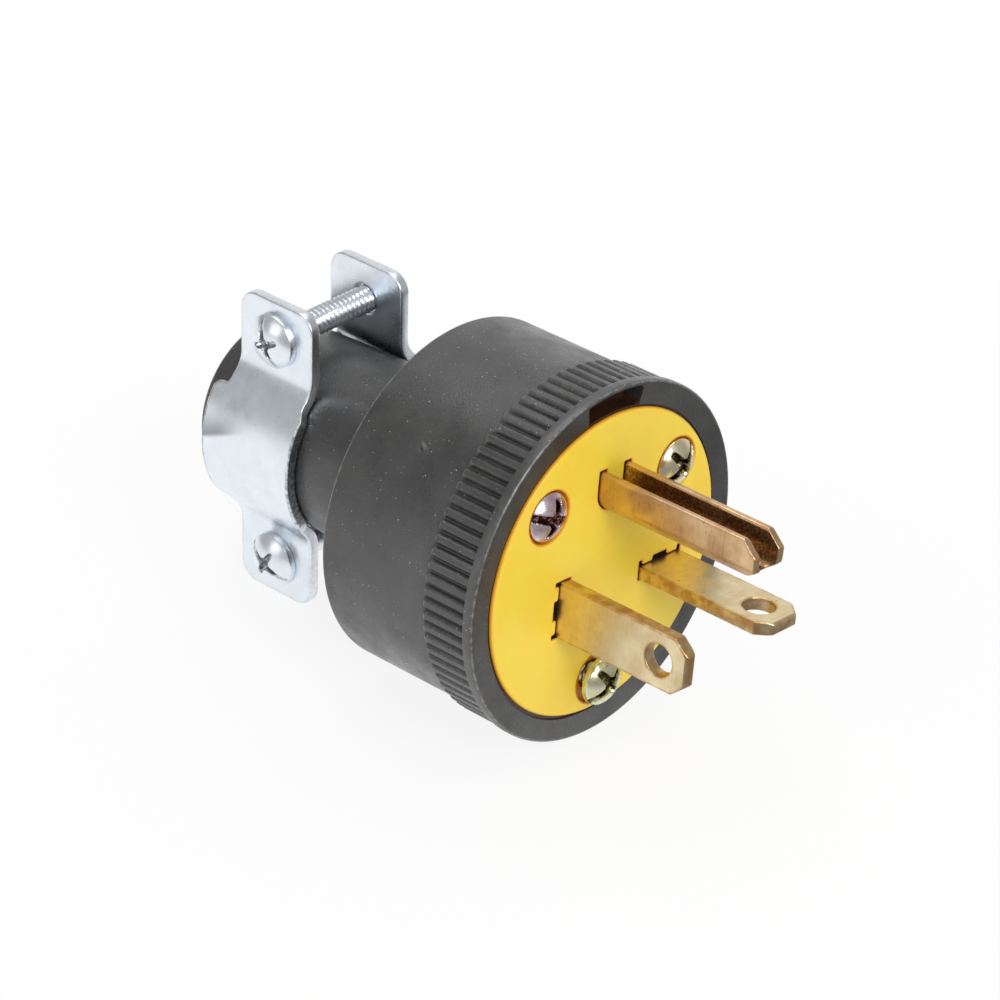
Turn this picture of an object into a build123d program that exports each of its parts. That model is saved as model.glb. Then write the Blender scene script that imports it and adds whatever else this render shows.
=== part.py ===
from build123d import *
import math
import os

# A rewirable straight-blade plug of the North American 20 A, 250 V pattern, in millimetres.
# The axis runs along Y: the blades point to -Y and the cord enters the neck from +Y.
# The grounding pin is up, at +Z, and the origin is the centre of the housing's front rim.

# Fits between pieces
moulded_gap = 0.1  # round the insert in the housing
slot_gap = 0.1  # round a blade in its slot
seat_gap = 0.05  # behind a piece that is trapped
thread_gap = 0.05  # round a screw in its tapped hole
hole_gap = 0.25  # round a screw in a plain hole
clamp_gap = 0.05  # between the neck and the clamp's saddle

# Blade pattern
upright_offset = 6.35
flat_offset = 8.73
ground_rise = 11.89
pattern_shift = 0.25  # the insert's layout sits a little right of the axis
line_height = -3.1  # height of the two line blades

# Line blades: one stamping, used twice
blade_width = 6.35
blade_thickness = 1.5
blade_reach = 17.1  # ahead of the face
blade_hole_diameter = 3.5
blade_hole_from_tip = 3.65
tip_corner_length = 1.75
tip_corner_width = 1.5
tip_bevel = 0.3
stop_width = 9.4  # shoulders that trap the blade in the insert
stop_length = 2.0
tail_width = 7.4
tail_reach = 6.6  # behind the terminal block
tail_clearance = 1.6  # between the tails and the housing's rear wall

# Grounding pin: a strip folded to a U
ground_width = 4.7
ground_height = 4.6
ground_metal = 0.9
ground_fold_radius = 2.1
ground_reach = 20.4
ground_tip_length = 1.7
ground_tip_rise = 1.6
ground_toe_length = 2.0
ground_toe_rise = 1.3
ground_stop_width = 8.4
ground_tail_width = 6.8

# Insert
plate_radius = 18.0
plate_thickness = 4.4  # behind the lip
face_rise = 0.5  # how far the face stands out through the lip
face_gap = 0.25  # between the lip and the raised face
face_edge_bevel = 0.3
barrier_thickness = 1.4
relief_depth = 0.55  # pocket along one long side of each line slot
bump_width = 1.7
bump_spacing = 3.9
bump_round = 0.4

# Face screws
face_screw_radius = 12.9
face_screw_angle = 40.5
face_screw_drop = 13.4
face_thread_diameter = 2.9
face_screw_stickout = 0.4  # behind the terminal block
face_head_diameter = 5.5
face_head_height = 1.9
counterbore_diameter = 5.9
counterbore_depth = 0.8
left_stand = 0.0  # how far each head stands off its seat
right_stand = 0.2
bottom_stand = 1.3

# Wire terminals
terminal_thread_diameter = 3.4
terminal_screw_length = 3.8
terminal_head_height = 2.2
pressure_width = 7.4
pressure_margin = 0.3  # from a pressure plate to each end of its tail
pressure_thickness = 1.1

# Housing
rim_step = 0.7  # how far the rim stands out from the body
rim_bevel = 0.3
collar_length = 1.3
seat_wall = 1.2  # rubber round the face plate
body_length = 21.5
body_wall = 2.4
rear_wall = 3.0
rear_slope = 1.2
lip_thickness = 0.4
lip_overlap = 0.7  # how far the lip reaches over the face plate
neck_root_radius = 10.75
neck_root_round = 2.0
neck_end_radius = 9.65
neck_end_bevel = 0.4
neck_length = 28.3
cord_bore_radius = 7.4
rib_count = 86
rib_length = 5.8
rib_height = 0.5
rib_root_width = 1.1
rib_crest_width = 0.7
rib_end_bevel = 0.35
notch_width = 7.8
notch_centre = -0.5
notch_wall = 0.55
notch_depth = 2.4
notch_taper = 0.95

# Cord clamp
clamp_turn = -4.2  # the clamp sits turned a little on the neck
clamp_metal = 1.25
clamp_setback = 2.2  # from the saddle's rear edge to the neck's end
saddle_width = 13.1
saddle_half_height = 6.6
saddle_edge_bevel = 0.35
ear_width = 10.7
ear_setback = 0.55  # from the saddle's front edge to the ear's
ear_inner = 6.1
ear_end = 17.7
ear_corner = 2.2
flare_round = 1.2
flare_root_round = 0.5
bend_round = 3.2
clamp_screw_inset = 4.3  # from the ear's end
clamp_thread_diameter = 3.1
clamp_screw_stickout = 1.5
clamp_head_diameter = 6.1
clamp_head_height = 2.0

# Screw heads
head_rim_share = 0.35  # straight part of a domed head
drive_width = 0.9
drive_slot_depth = 0.7
drive_cross_length = 3.2
drive_cross_depth = 1.1

# Places that follow from the sizes above
body_radius = plate_radius + moulded_gap + seat_wall
rim_radius = body_radius + rim_step
face_y = lip_thickness - face_rise
plate_back = lip_thickness + plate_thickness
stop_end = plate_back + stop_length
cavity_radius = body_radius - body_wall
cavity_end = body_length - rear_wall
tail_end = cavity_end - tail_clearance
block_back = tail_end - tail_reach
terminal_y = block_back + tail_reach / 2
pressure_length = tail_reach - 2 * pressure_margin
terminal_head_diameter = pressure_length
block_radius = cavity_radius - moulded_gap
lip_radius = plate_radius - lip_overlap
face_radius = lip_radius - face_gap
neck_start = body_length + rear_slope
neck_end = body_length + neck_length
upright_x = pattern_shift - upright_offset
flat_x = pattern_shift + flat_offset
ground_z = line_height + ground_rise
ground_base = ground_z - ground_height / 2
ground_strip_z = ground_base + ground_metal / 2
clamp_start = neck_end - clamp_setback - saddle_width
ear_start = clamp_start + ear_setback
ear_outer = ear_inner + clamp_metal
clamp_screw_y = ear_start + ear_width / 2
clamp_screw_height = ear_end - clamp_screw_inset
above = (Align.CENTER, Align.CENTER, Align.MIN)
below = (Align.CENTER, Align.CENTER, Align.MAX)


def section_along_axis(section: Sketch, start: float, end: float) -> Part:
    """Extrude a section drawn in X and Z from y = start to y = end."""
    return extrude(Plane.XZ.offset(-end) * section, end - start)


def turned(*outline) -> Part:
    """Revolve an outline of radius and axial place about the plug's axis."""
    return revolve(make_face(Polyline(*outline, close=True)), Axis.Y)


def rings_at(body: Part, y: float) -> ShapeList:
    """Circular edges of a turned body that lie in one plane across the axis."""
    return body.edges().filter_by(GeomType.CIRCLE).filter_by_position(Axis.Y, y - 1e-3, y + 1e-3)


def rounded_ring(body: Part, y: float, radius: float) -> Part:
    """Round the circular edges of a turned body that lie in one plane across the axis."""
    return fillet(rings_at(body, y), radius)


def bevelled_ring(body: Part, y: float, size: float) -> Part:
    """Bevel the circular edges of a turned body that lie in one plane across the axis."""
    return chamfer(rings_at(body, y), size)


def round_hole(x: float, z: float, diameter: float, start: float, end: float) -> Part:
    """A round cutter along the axis."""
    return section_along_axis(Pos(x, z) * Circle(diameter / 2), start, end)


def neck_radius(y: float) -> float:
    """Radius of the tapered neck at a place along the axis."""
    share = (y - neck_start) / (neck_end - neck_start)
    return neck_root_radius + share * (neck_end_radius - neck_root_radius)


def face_screw_places() -> list:
    """X, Z and stand-off of the three face screws."""
    side_x = face_screw_radius * math.cos(math.radians(face_screw_angle))
    side_z = face_screw_radius * math.sin(math.radians(face_screw_angle))
    return [
        (pattern_shift - side_x, side_z, left_stand),
        (pattern_shift + side_x, side_z, right_stand),
        (pattern_shift, -face_screw_drop, bottom_stand),
    ]


def screw(thread: float, length: float, head: float, height: float) -> Part:
    """A domed screw with a cross and a slot: its head sits on z = 0 and its thread points to -Z."""
    rim = height * head_rim_share
    dome = height - rim
    crown_radius = ((head / 2) ** 2 + dome**2) / (2 * dome)
    crown_middle = height - crown_radius + math.sqrt(crown_radius**2 - (head / 4) ** 2)
    sides = Polyline(
        (0, height), (0, -length), (thread / 2, -length), (thread / 2, 0), (head / 2, 0), (head / 2, rim)
    )
    crown = ThreePointArc((head / 2, rim), (head / 4, crown_middle), (0, height))
    body = revolve(Plane.XZ * make_face(sides + crown), Axis.Z)
    slot = Box(2 * head, drive_width, 2 * drive_slot_depth)
    cross = Box(drive_width, drive_cross_length, 2 * drive_cross_depth)
    core = Box(drive_cross_length, drive_width, 2 * drive_cross_depth)
    return body - Pos(0, 0, height) * (slot + cross + core)


def rib() -> Part:
    """One grip rib at the top of the body, rooted below its surface and bevelled at its rear end."""
    root = body_radius - rib_height
    crest = body_radius + rib_height
    outline = Polyline(
        (-rib_root_width / 2, root),
        (rib_root_width / 2, root),
        (rib_root_width / 2, body_radius),
        (rib_crest_width / 2, crest),
        (-rib_crest_width / 2, crest),
        (-rib_root_width / 2, body_radius),
        close=True,
    )
    bar = section_along_axis(make_face(outline), collar_length / 2, collar_length + rib_length)
    rear = bar.faces().sort_by(Axis.Y)[-1]
    return chamfer(rear.edges().sort_by(Axis.Z)[-1], rib_end_bevel)


def notch_cutter() -> Part:
    """The pry notch: a stretch of the rim whose outer wall leans inwards with depth."""
    mouth = rim_radius - notch_wall
    inside = lip_radius - lip_overlap
    wedge = turned(
        (inside, -notch_depth),
        (mouth + notch_taper, -notch_depth),
        (mouth - notch_taper, notch_depth),
        (inside, notch_depth),
    )
    return wedge & Pos(notch_centre, 0, rim_radius) * Box(notch_width, 4 * notch_depth, 2 * rim_radius)


def housing() -> Part:
    """The rubber shell: ribbed body, lip over the insert, cavity, and a neck with the cord's bore."""
    shell = turned(
        (0, 0),
        (rim_radius, 0),
        (rim_radius, collar_length),
        (body_radius, collar_length),
        (body_radius, body_length),
        (neck_root_radius, neck_start),
        (neck_end_radius, neck_end),
        (0, neck_end),
    )
    shell = bevelled_ring(shell, 0, rim_bevel)
    shell = rounded_ring(shell, neck_start, neck_root_round)
    shell = bevelled_ring(shell, neck_end, neck_end_bevel)
    bar = rib()
    shell = shell + [Rot(0, 360 / rib_count * index, 0) * bar for index in range(rib_count)]
    cavity = turned(
        (0, -lip_thickness),
        (lip_radius, -lip_thickness),
        (lip_radius, lip_thickness),
        (plate_radius + moulded_gap, lip_thickness),
        (plate_radius + moulded_gap, plate_back + seat_gap),
        (cavity_radius, plate_back + seat_gap),
        (cavity_radius, cavity_end),
        (cord_bore_radius, cavity_end),
        (cord_bore_radius, neck_end + neck_end_bevel),
        (0, neck_end + neck_end_bevel),
    )
    return shell - cavity - notch_cutter()


def line_slot() -> Sketch:
    """Slot of a line blade, with a pocket along its upper side that two bumps divide in three."""
    length = blade_width + 2 * slot_gap
    thickness = blade_thickness + 2 * slot_gap
    pocket = Pos(0, (thickness + relief_depth) / 2) * Rectangle(length, relief_depth)
    bump = RectangleRounded(bump_width, 2 * relief_depth, min(bump_round, 0.9 * relief_depth))
    for side in (-1, 1):
        pocket -= Pos(side * bump_spacing / 2, thickness / 2 + relief_depth) * bump
    return Rectangle(length, thickness) + pocket


def ground_section(grow: float) -> Sketch:
    """The pin's U, open at the top, with its metal grown all round by an even gap."""
    width = ground_width + 2 * grow
    height = ground_height + 2 * grow
    wall = ground_metal + 2 * grow
    fold = min(ground_fold_radius, 0.45 * ground_width) + grow
    inner_fold = max(fold - wall, 0.1)
    outer = fillet(Rectangle(width, height).vertices().group_by(Axis.Y)[0], fold)
    channel = Pos(0, wall) * Rectangle(width - 2 * wall, height)
    channel = fillet(channel.vertices().group_by(Axis.Y)[0], inner_fold)
    return Pos(pattern_shift, ground_z) * (outer - channel)


def upright_place() -> Location:
    """Where the line stamping stands on edge."""
    return Pos(upright_x, 0, line_height) * Rot(0, 90, 0)


def flat_place() -> Location:
    """Where the line stamping lies flat."""
    return Pos(flat_x, 0, line_height)


def face_plate() -> Part:
    """The yellow insert's front: a flange under the lip, and a raised face with slots and screw holes."""
    disc = turned(
        (0, face_y),
        (face_radius, face_y),
        (face_radius, lip_thickness),
        (plate_radius, lip_thickness),
        (plate_radius, plate_back),
        (0, plate_back),
    )
    disc = bevelled_ring(disc, face_y, face_edge_bevel)
    ahead = face_y - face_rise
    upright = Pos(upright_x, line_height) * Rot(0, 0, 90) * line_slot()
    flat = Pos(flat_x, line_height) * line_slot()
    plate = disc - section_along_axis(upright + flat + ground_section(slot_gap), ahead, block_back)
    for x, z, _ in face_screw_places():
        plate -= round_hole(x, z, counterbore_diameter, ahead, face_y + counterbore_depth)
        plate -= round_hole(x, z, face_thread_diameter + 2 * hole_gap, ahead, block_back)
    return plate


def strip_passage(stop: float, tail: float, metal: float) -> Part:
    """Cutter for a strip through the block: a pocket for its shoulders and a slot for its tail."""
    thickness = metal + 2 * slot_gap
    pocket = Rectangle(stop + 2 * slot_gap, thickness)
    slot = Rectangle(tail + 2 * slot_gap, thickness)
    return section_along_axis(pocket, 0, stop_end + seat_gap) + section_along_axis(slot, 0, tail_end)


def barriers() -> Part:
    """Walls behind the block, half-way between neighbouring terminals and clear of the cord's bore."""
    bearings = sorted(
        math.degrees(math.atan2(z, x)) % 360
        for x, z in ((upright_x, line_height), (flat_x, line_height), (pattern_shift, ground_z))
    )
    reach = block_radius - cord_bore_radius
    wall = Pos(cord_bore_radius + reach / 2, 0) * Rectangle(reach, barrier_thickness)
    fan = Sketch() + [
        Rot(0, 0, (first + second) / 2) * wall
        for first, second in zip(bearings, bearings[1:] + [bearings[0] + 360])
    ]
    return section_along_axis(fan & Circle(block_radius), block_back, tail_end)


def terminal_block() -> Part:
    """The insert's rear: it traps the blades, takes the face screws and keeps the terminals apart."""
    block = section_along_axis(Circle(block_radius), plate_back, block_back) + barriers()
    line = strip_passage(stop_width, tail_width, blade_thickness)
    ground = strip_passage(ground_stop_width, ground_tail_width, ground_metal)
    block = block - upright_place() * line - flat_place() * line
    block -= Pos(pattern_shift, 0, ground_strip_z) * ground
    for x, z, _ in face_screw_places():
        block -= round_hole(x, z, face_thread_diameter + 2 * thread_gap, 0, tail_end)
    return block


def line_blade() -> Part:
    """The line stamping, lying flat: blade, shoulders that are trapped, and tail with a tapped hole."""
    tip = face_y - blade_reach
    blade_half = blade_width / 2
    stop_half = stop_width / 2
    tail_half = tail_width / 2
    outline = Polyline(
        (0, tip),
        (blade_half - tip_corner_width, tip),
        (blade_half, tip + tip_corner_length),
        (blade_half, plate_back),
        (stop_half, plate_back),
        (stop_half, stop_end),
        (tail_half, stop_end),
        (tail_half, tail_end),
        (0, tail_end),
        close=True,
    )
    right = make_face(outline)
    strip = extrude(right + mirror(right, Plane.YZ), blade_thickness / 2, both=True)
    strip = chamfer(strip.faces().sort_by(Axis.Y)[0].edges().filter_by(Axis.X), tip_bevel)
    tip_hole = Cylinder(blade_hole_diameter / 2, 2 * blade_thickness)
    thread_hole = Cylinder(terminal_thread_diameter / 2 + thread_gap, 2 * blade_thickness)
    return strip - Pos(0, tip + blade_hole_from_tip) * tip_hole - Pos(0, terminal_y) * thread_hole


def tip_cutter(length: float, rise: float) -> Part:
    """A wedge that bevels the pin's tip, drawn from the corner that it takes away."""
    corner = Polyline((0, 0), (length, 0), (0, rise), close=True)
    return extrude(Plane.YZ * make_face(corner), ground_width, both=True)


def ground_pin() -> Part:
    """The folded pin with its cut-back tip, and a flat tail that carries its terminal."""
    tip = face_y - ground_reach
    pin = section_along_axis(ground_section(0), tip, plate_back)
    top = ground_base + ground_height
    pin -= Pos(pattern_shift, tip, top) * tip_cutter(ground_tip_length, -ground_tip_rise)
    pin -= Pos(pattern_shift, tip, ground_base) * tip_cutter(ground_toe_length, ground_toe_rise)
    middle = Pos(pattern_shift, ground_strip_z)
    pin += section_along_axis(middle * Rectangle(ground_stop_width, ground_metal), plate_back, stop_end)
    pin += section_along_axis(middle * Rectangle(ground_tail_width, ground_metal), plate_back, tail_end)
    return pin - ground_terminal() * Cylinder(terminal_thread_diameter / 2 + thread_gap, 4 * ground_metal)


def line_terminal() -> Location:
    """Seat of the wire terminal on the line stamping's tail, facing down."""
    return Pos(0, terminal_y, -blade_thickness / 2) * Rot(180, 0, 0)


def ground_terminal() -> Location:
    """Seat of the wire terminal on the pin's tail, facing up."""
    return Pos(pattern_shift, terminal_y, ground_base + ground_metal)


def pressure_plate() -> Part:
    """A wire clamp plate that lies on z = 0, with the screw's hole in its middle."""
    plate = Box(pressure_width, pressure_length, pressure_thickness, align=above)
    return plate - Cylinder(terminal_thread_diameter / 2 + hole_gap, 4 * pressure_thickness)


def terminal_screw() -> Part:
    """A flat-headed wire screw that sits on its pressure plate."""
    head = Cylinder(terminal_head_diameter / 2, terminal_head_height, align=above)
    shank = Cylinder(terminal_thread_diameter / 2, terminal_screw_length, align=below)
    slot = Box(2 * terminal_head_diameter, drive_width, 2 * drive_slot_depth)
    return Pos(0, 0, pressure_thickness) * (head + shank - Pos(0, 0, terminal_head_height) * slot)


def strap_section(inner: float, outer: float) -> Sketch:
    """The bent strap seen along the axis: a saddle round the neck between two flat ears."""
    strap = Circle(outer) + Pos((ear_inner + ear_outer) / 2, 0) * Rectangle(clamp_metal, 2 * ear_end)
    strap = (strap - Circle(inner)) & Pos(ear_inner + outer, 0) * Rectangle(2 * outer, 2 * ear_end)
    bends = strap.vertices().filter_by(lambda v: abs(v.Y) < outer)
    strap = fillet(bends.group_by(Axis.X)[0], bend_round + clamp_metal)
    bends = strap.vertices().filter_by(lambda v: abs(math.hypot(v.X, v.Y) - outer) < 1e-3)
    return fillet(bends.group_by(Axis.X)[0], bend_round)


def clamp_outline() -> Sketch:
    """The strap seen from its side: ears with round corners that flare into a wider saddle."""
    ears = Pos(clamp_screw_y, 0) * Rectangle(ear_width, 2 * ear_end)
    saddle = Pos(clamp_start + saddle_width / 2, 0) * Rectangle(saddle_width, 2 * saddle_half_height)
    strap = fillet(ears.vertices(), ear_corner) + fillet(saddle.vertices(), flare_round)
    ear_back = ear_start + ear_width
    behind_ears = strap.vertices().filter_by_position(Axis.X, ear_back - 1e-3, ear_back + 1e-3)
    roots = behind_ears.filter_by_position(Axis.Y, -saddle_half_height - 1e-3, saddle_half_height + 1e-3)
    return fillet(roots, flare_root_round)


def clamp_half(hole_diameter: float) -> Part:
    """One half of the cord clamp, at +X."""
    inner = neck_radius(clamp_start) + clamp_gap
    outer = inner + clamp_metal
    band = section_along_axis(strap_section(inner, outer), clamp_start, clamp_start + saddle_width)
    rims = band.edges().filter_by(GeomType.CIRCLE).filter_by(lambda edge: abs(edge.radius - outer) < 1e-3)
    half = chamfer(rims, saddle_edge_bevel) & extrude(Plane.YZ * clamp_outline(), 2 * outer)
    hole = Cylinder(hole_diameter / 2, 4 * clamp_metal, rotation=(0, 90, 0))
    for side in (-1, 1):
        half -= Pos(ear_inner, clamp_screw_y, side * clamp_screw_height) * hole
    return half


def clamp_screw() -> Part:
    """A clamp screw along X, with its head on the plain half's ear."""
    length = 2 * ear_outer + clamp_screw_stickout
    body = screw(clamp_thread_diameter, length, clamp_head_diameter, clamp_head_height)
    return Pos(-ear_outer, clamp_screw_y, 0) * Rot(0, -90, 0) * body


def face_screw() -> Part:
    """A face screw along the axis, with its head on the bottom of the counterbore."""
    seat = face_y + counterbore_depth
    length = block_back + face_screw_stickout - seat
    body = screw(face_thread_diameter, length, face_head_diameter, face_head_height)
    return Pos(0, seat, 0) * Rot(90, 0, 0) * body


on_neck = Rot(0, clamp_turn, 0)
clamp_screw_heights = (clamp_screw_height, -clamp_screw_height)
upright_terminal = upright_place() * line_terminal()
flat_terminal = flat_place() * line_terminal()
line_terminals = (upright_terminal, flat_terminal)

nodes = {
    "housing": housing(),
    "face_plate": face_plate(),
    "terminal_block": terminal_block(),
    "upright_blade": upright_place() * line_blade(),
    "flat_blade": flat_place() * line_blade(),
    "ground_pin": ground_pin(),
    "face_screws": Compound([Pos(x, -stand, z) * face_screw() for x, z, stand in face_screw_places()]),
    "line_terminal_screws": Compound([seat * terminal_screw() for seat in line_terminals]),
    "ground_terminal_screw": ground_terminal() * terminal_screw(),
    "upright_pressure_plate": upright_terminal * pressure_plate(),
    "flat_pressure_plate": flat_terminal * pressure_plate(),
    "ground_pressure_plate": ground_terminal() * pressure_plate(),
    "plain_clamp": on_neck * Rot(0, 180, 0) * clamp_half(clamp_thread_diameter + 2 * hole_gap),
    "tapped_clamp": on_neck * clamp_half(clamp_thread_diameter + 2 * thread_gap),
    "clamp_screws": Compound([on_neck * Pos(0, 0, z) * clamp_screw() for z in clamp_screw_heights]),
}

os.makedirs("parts", exist_ok=True)
for name, solid in nodes.items():
    export_step(solid, f"parts/{name}.step")
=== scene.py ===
"""Dress the straight-blade plug: ribbed rubber housing, yellow insert, brass blades and zinc cord clamp.

Sizes are millimetres until a mesh is made, which turns them into metres. The plug's axis is Y: the blades
point to -Y and the cord enters at +Y. Angles about the axis run from +X towards +Z.
"""

import logging
import math
from dataclasses import dataclass
from enum import Enum
from typing import Any, Callable, Sequence

import bpy
import numpy as np
from mathutils import Matrix, Vector
from mathutils.geometry import delaunay_2d_cdt


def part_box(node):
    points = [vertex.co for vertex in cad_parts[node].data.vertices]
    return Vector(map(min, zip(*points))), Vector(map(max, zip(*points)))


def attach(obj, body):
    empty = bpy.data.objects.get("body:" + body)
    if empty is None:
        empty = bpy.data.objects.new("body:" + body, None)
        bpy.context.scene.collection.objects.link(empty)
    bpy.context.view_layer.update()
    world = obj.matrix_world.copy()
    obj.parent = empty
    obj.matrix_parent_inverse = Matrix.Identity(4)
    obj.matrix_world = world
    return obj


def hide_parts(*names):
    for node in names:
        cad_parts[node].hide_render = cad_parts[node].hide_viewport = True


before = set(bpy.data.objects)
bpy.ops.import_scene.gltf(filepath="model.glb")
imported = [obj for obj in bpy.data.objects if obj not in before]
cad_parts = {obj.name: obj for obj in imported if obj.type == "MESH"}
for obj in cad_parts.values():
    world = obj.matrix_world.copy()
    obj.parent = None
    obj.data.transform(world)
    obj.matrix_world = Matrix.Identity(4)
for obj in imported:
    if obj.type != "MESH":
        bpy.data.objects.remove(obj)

LOG = logging.getLogger("plug")
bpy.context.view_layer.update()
MM = 0.001
BODY = "root"
EDGE = "edge"
SHARP_ANGLE = 32.0
SAME_PLACE = 1e-6
SAME_POINT = 1e-7
WALL_STEPS = 4
NO_POINTS = np.empty((0, 2))
UNIT = (0.0, 1.0)
Colour = tuple[float, float, float]
Corner = tuple[float, float, float]
Place = tuple[float, float, float]
Material = bpy.types.Material
Tree = bpy.types.NodeTree
Socket = bpy.types.NodeSocket


class Slot(Enum):
    """The record's material slots; nothing in this script gives a piece its finish from them."""

    RUBBER = "rubber"
    NYLON = "yellow_nylon"
    BRASS = "blade_brass"
    GOLD_PLATE = "gold_plated_steel"
    ZINC = "zinc_steel"


@dataclass
class Shell:
    """A closed surface.

    points are millimetres, faces are blocks of rows of point numbers, and edge is 1 on the narrow walls and
    rounded edges and 0 on the broad faces; the finishes turn it into wear, painted highlight and painted
    shade.
    """

    points: np.ndarray
    faces: list[np.ndarray]
    edge: np.ndarray

    def mapped(self, change: Callable[[np.ndarray], np.ndarray]) -> "Shell":
        """The same surface with its points changed by a function of all of them."""
        return Shell(change(self.points), self.faces, self.edge)

    def outward(self) -> "Shell":
        """Make the faces point outwards.

        The volume inside is the sum of the signed volumes between each triangle of a face and the origin.
        Where it comes out negative, every face is turned over.

        Returns:
            The same points, with the faces the right way round.
        """
        volume = 0.0
        for block in self.faces:
            first = self.points[block[:, 0]]
            for corner in range(1, block.shape[1] - 1):
                second, third = self.points[block[:, corner]], self.points[block[:, corner + 1]]
                volume += float(np.sum(first * np.cross(second, third)))
        faces = self.faces if volume > 0 else [block[:, ::-1] for block in self.faces]
        return Shell(self.points, faces, self.edge)


def joined(shells: Sequence[Shell]) -> Shell:
    """Several surfaces as one.

    Args:
        shells: The surfaces, in the order in which their points are kept.

    Returns:
        One surface with all their points and faces.
    """
    starts = np.cumsum([0] + [len(shell.points) for shell in shells[:-1]])
    turned = [shell.outward() for shell in shells]
    faces = [block + start for shell, start in zip(turned, starts) for block in shell.faces]
    points = np.concatenate([shell.points for shell in shells])
    return Shell(points, faces, np.concatenate([shell.edge for shell in shells]))


def node_box(node_name: str) -> tuple[np.ndarray, np.ndarray]:
    """Lowest and highest corner of a CAD node, in millimetres."""
    low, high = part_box(node_name)
    return np.array(low) / MM, np.array(high) / MM


def smooth_step(value: np.ndarray, low: float, high: float) -> np.ndarray:
    """0 below low, 1 above high, and 3t^2 - 2t^3 between them."""
    share = np.clip((value - low) / (high - low), 0, 1)
    return share * share * (3 - 2 * share)


def turned_about_axis(points: np.ndarray, degrees: float) -> np.ndarray:
    """Turn points about the plug's axis by the right-hand rule about +Y.

    X becomes x cos t + z sin t, and Z becomes z cos t - x sin t.

    Args:
        points: Points, one row each.
        degrees: The angle t.

    Returns:
        The turned points.
    """
    turn = math.radians(degrees)
    x = points[:, 0] * math.cos(turn) + points[:, 2] * math.sin(turn)
    z = points[:, 2] * math.cos(turn) - points[:, 0] * math.sin(turn)
    return np.stack([x, points[:, 1], z], 1)


def rounded(corners: Sequence[Corner], spacing: float, arc_steps: int = 6) -> np.ndarray:
    """A closed outline of straight runs with arcs at its corners.

    An arc of radius r in a corner of angle a touches both runs r / tan(a / 2) from the corner, and its centre
    lies r / sin(a / 2) from it along the bisector.

    Args:
        corners: Place and radius of each corner, in order.
        spacing: Longest step along a straight run.
        arc_steps: Steps of each arc.

    Returns:
        The outline's points, one row each.
    """
    places = np.array([corner[:2] for corner in corners], float)
    before, after = np.roll(places, 1, 0) - places, np.roll(places, -1, 0) - places
    before /= np.linalg.norm(before, axis=1, keepdims=True)
    after /= np.linalg.norm(after, axis=1, keepdims=True)
    arcs = []
    for place, back, ahead, radius in zip(places, before, after, [corner[2] for corner in corners]):
        if radius == 0:
            arcs.append(place[None])
            continue
        half = math.acos(float(np.clip(back @ ahead, -1, 1))) / 2
        bisector = (back + ahead) / np.linalg.norm(back + ahead)
        centre = place + bisector * radius / math.sin(half)
        reach = radius / math.tan(half)
        start, end = place + back * reach - centre, place + ahead * reach - centre
        first = math.atan2(start[1], start[0])
        sweep = math.atan2(start[0] * end[1] - start[1] * end[0], float(start @ end))
        angle = first + sweep * np.linspace(0, 1, arc_steps + 1)
        arcs.append(centre + radius * np.stack([np.cos(angle), np.sin(angle)], 1))
    runs = []
    for arc, following in zip(arcs, arcs[1:] + arcs[:1]):
        length = float(np.linalg.norm(following[0] - arc[-1]))
        share = np.linspace(0, 1, max(1, math.ceil(length / spacing)) + 1)[1:-1, None]
        runs += [arc, arc[-1] + share * (following[0] - arc[-1])]
    return np.concatenate(runs)


def mirrored(side: Sequence[Corner]) -> list[Corner]:
    """One side's corners and then their mirror images in the Y axis, in the order of a closed outline."""
    return [*side, *((-x, y, radius) for x, y, radius in reversed(side))]


def circle(x: float, y: float, radius: float, count: int) -> np.ndarray:
    """A clockwise circle, as the outline of a round hole."""
    angle = -np.linspace(0, 2 * math.pi, count, endpoint=False)
    return np.stack([x + radius * np.cos(angle), y + radius * np.sin(angle)], 1)


def left_normals(outline: np.ndarray) -> np.ndarray:
    """Normals to the left of a closed outline.

    A point's normal is the mean of its two runs' normals, lengthened to a mitre so that offsets stay
    parallel, but to twice its length at most.

    Args:
        outline: The outline's points, one row each.

    Returns:
        One normal for each point.
    """
    ahead = np.roll(outline, -1, 0) - outline
    ahead /= np.linalg.norm(ahead, axis=1, keepdims=True)
    normals = np.stack([-ahead[:, 1], ahead[:, 0]], 1)
    mean = normals + np.roll(normals, 1, 0)
    mean /= np.linalg.norm(mean, axis=1, keepdims=True)
    least_cosine = 0.5
    return mean / np.maximum(np.sum(mean * normals, 1), least_cosine)[:, None]


def ring_quads(rings: int, around: int) -> np.ndarray:
    """Quads between rings of points that are numbered ring by ring and close on themselves.

    Args:
        rings: Number of rings.
        around: Points in each ring.

    Returns:
        Rows of four point numbers.
    """
    ring, place = np.meshgrid(np.arange(rings - 1), np.arange(around), indexing="ij")
    here, beside = ring * around + place, ring * around + (place + 1) % around
    return np.stack([here, beside, beside + around, here + around], -1).reshape(-1, 4)


def tube(grid: np.ndarray, edge: np.ndarray) -> Shell:
    """Skin a stack of rings and close both ends by fans to the rings' centres.

    Args:
        grid: Points by ring and place in the ring.
        edge: The edge mask, one value for each point of the grid.

    Returns:
        The closed surface.
    """
    rings, around = grid.shape[:2]
    points = np.concatenate([grid.reshape(-1, 3), grid[0].mean(0)[None], grid[-1].mean(0)[None]])
    here = np.arange(around)
    beside = (here + 1) % around
    last_ring, centre = (rings - 1) * around, np.full(around, rings * around)
    first = np.stack([beside, here, centre], 1)
    last = np.stack([here + last_ring, beside + last_ring, centre + 1], 1)
    return Shell(points, [ring_quads(rings, around), first, last], np.append(edge.ravel(), [0, 0]))


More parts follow.
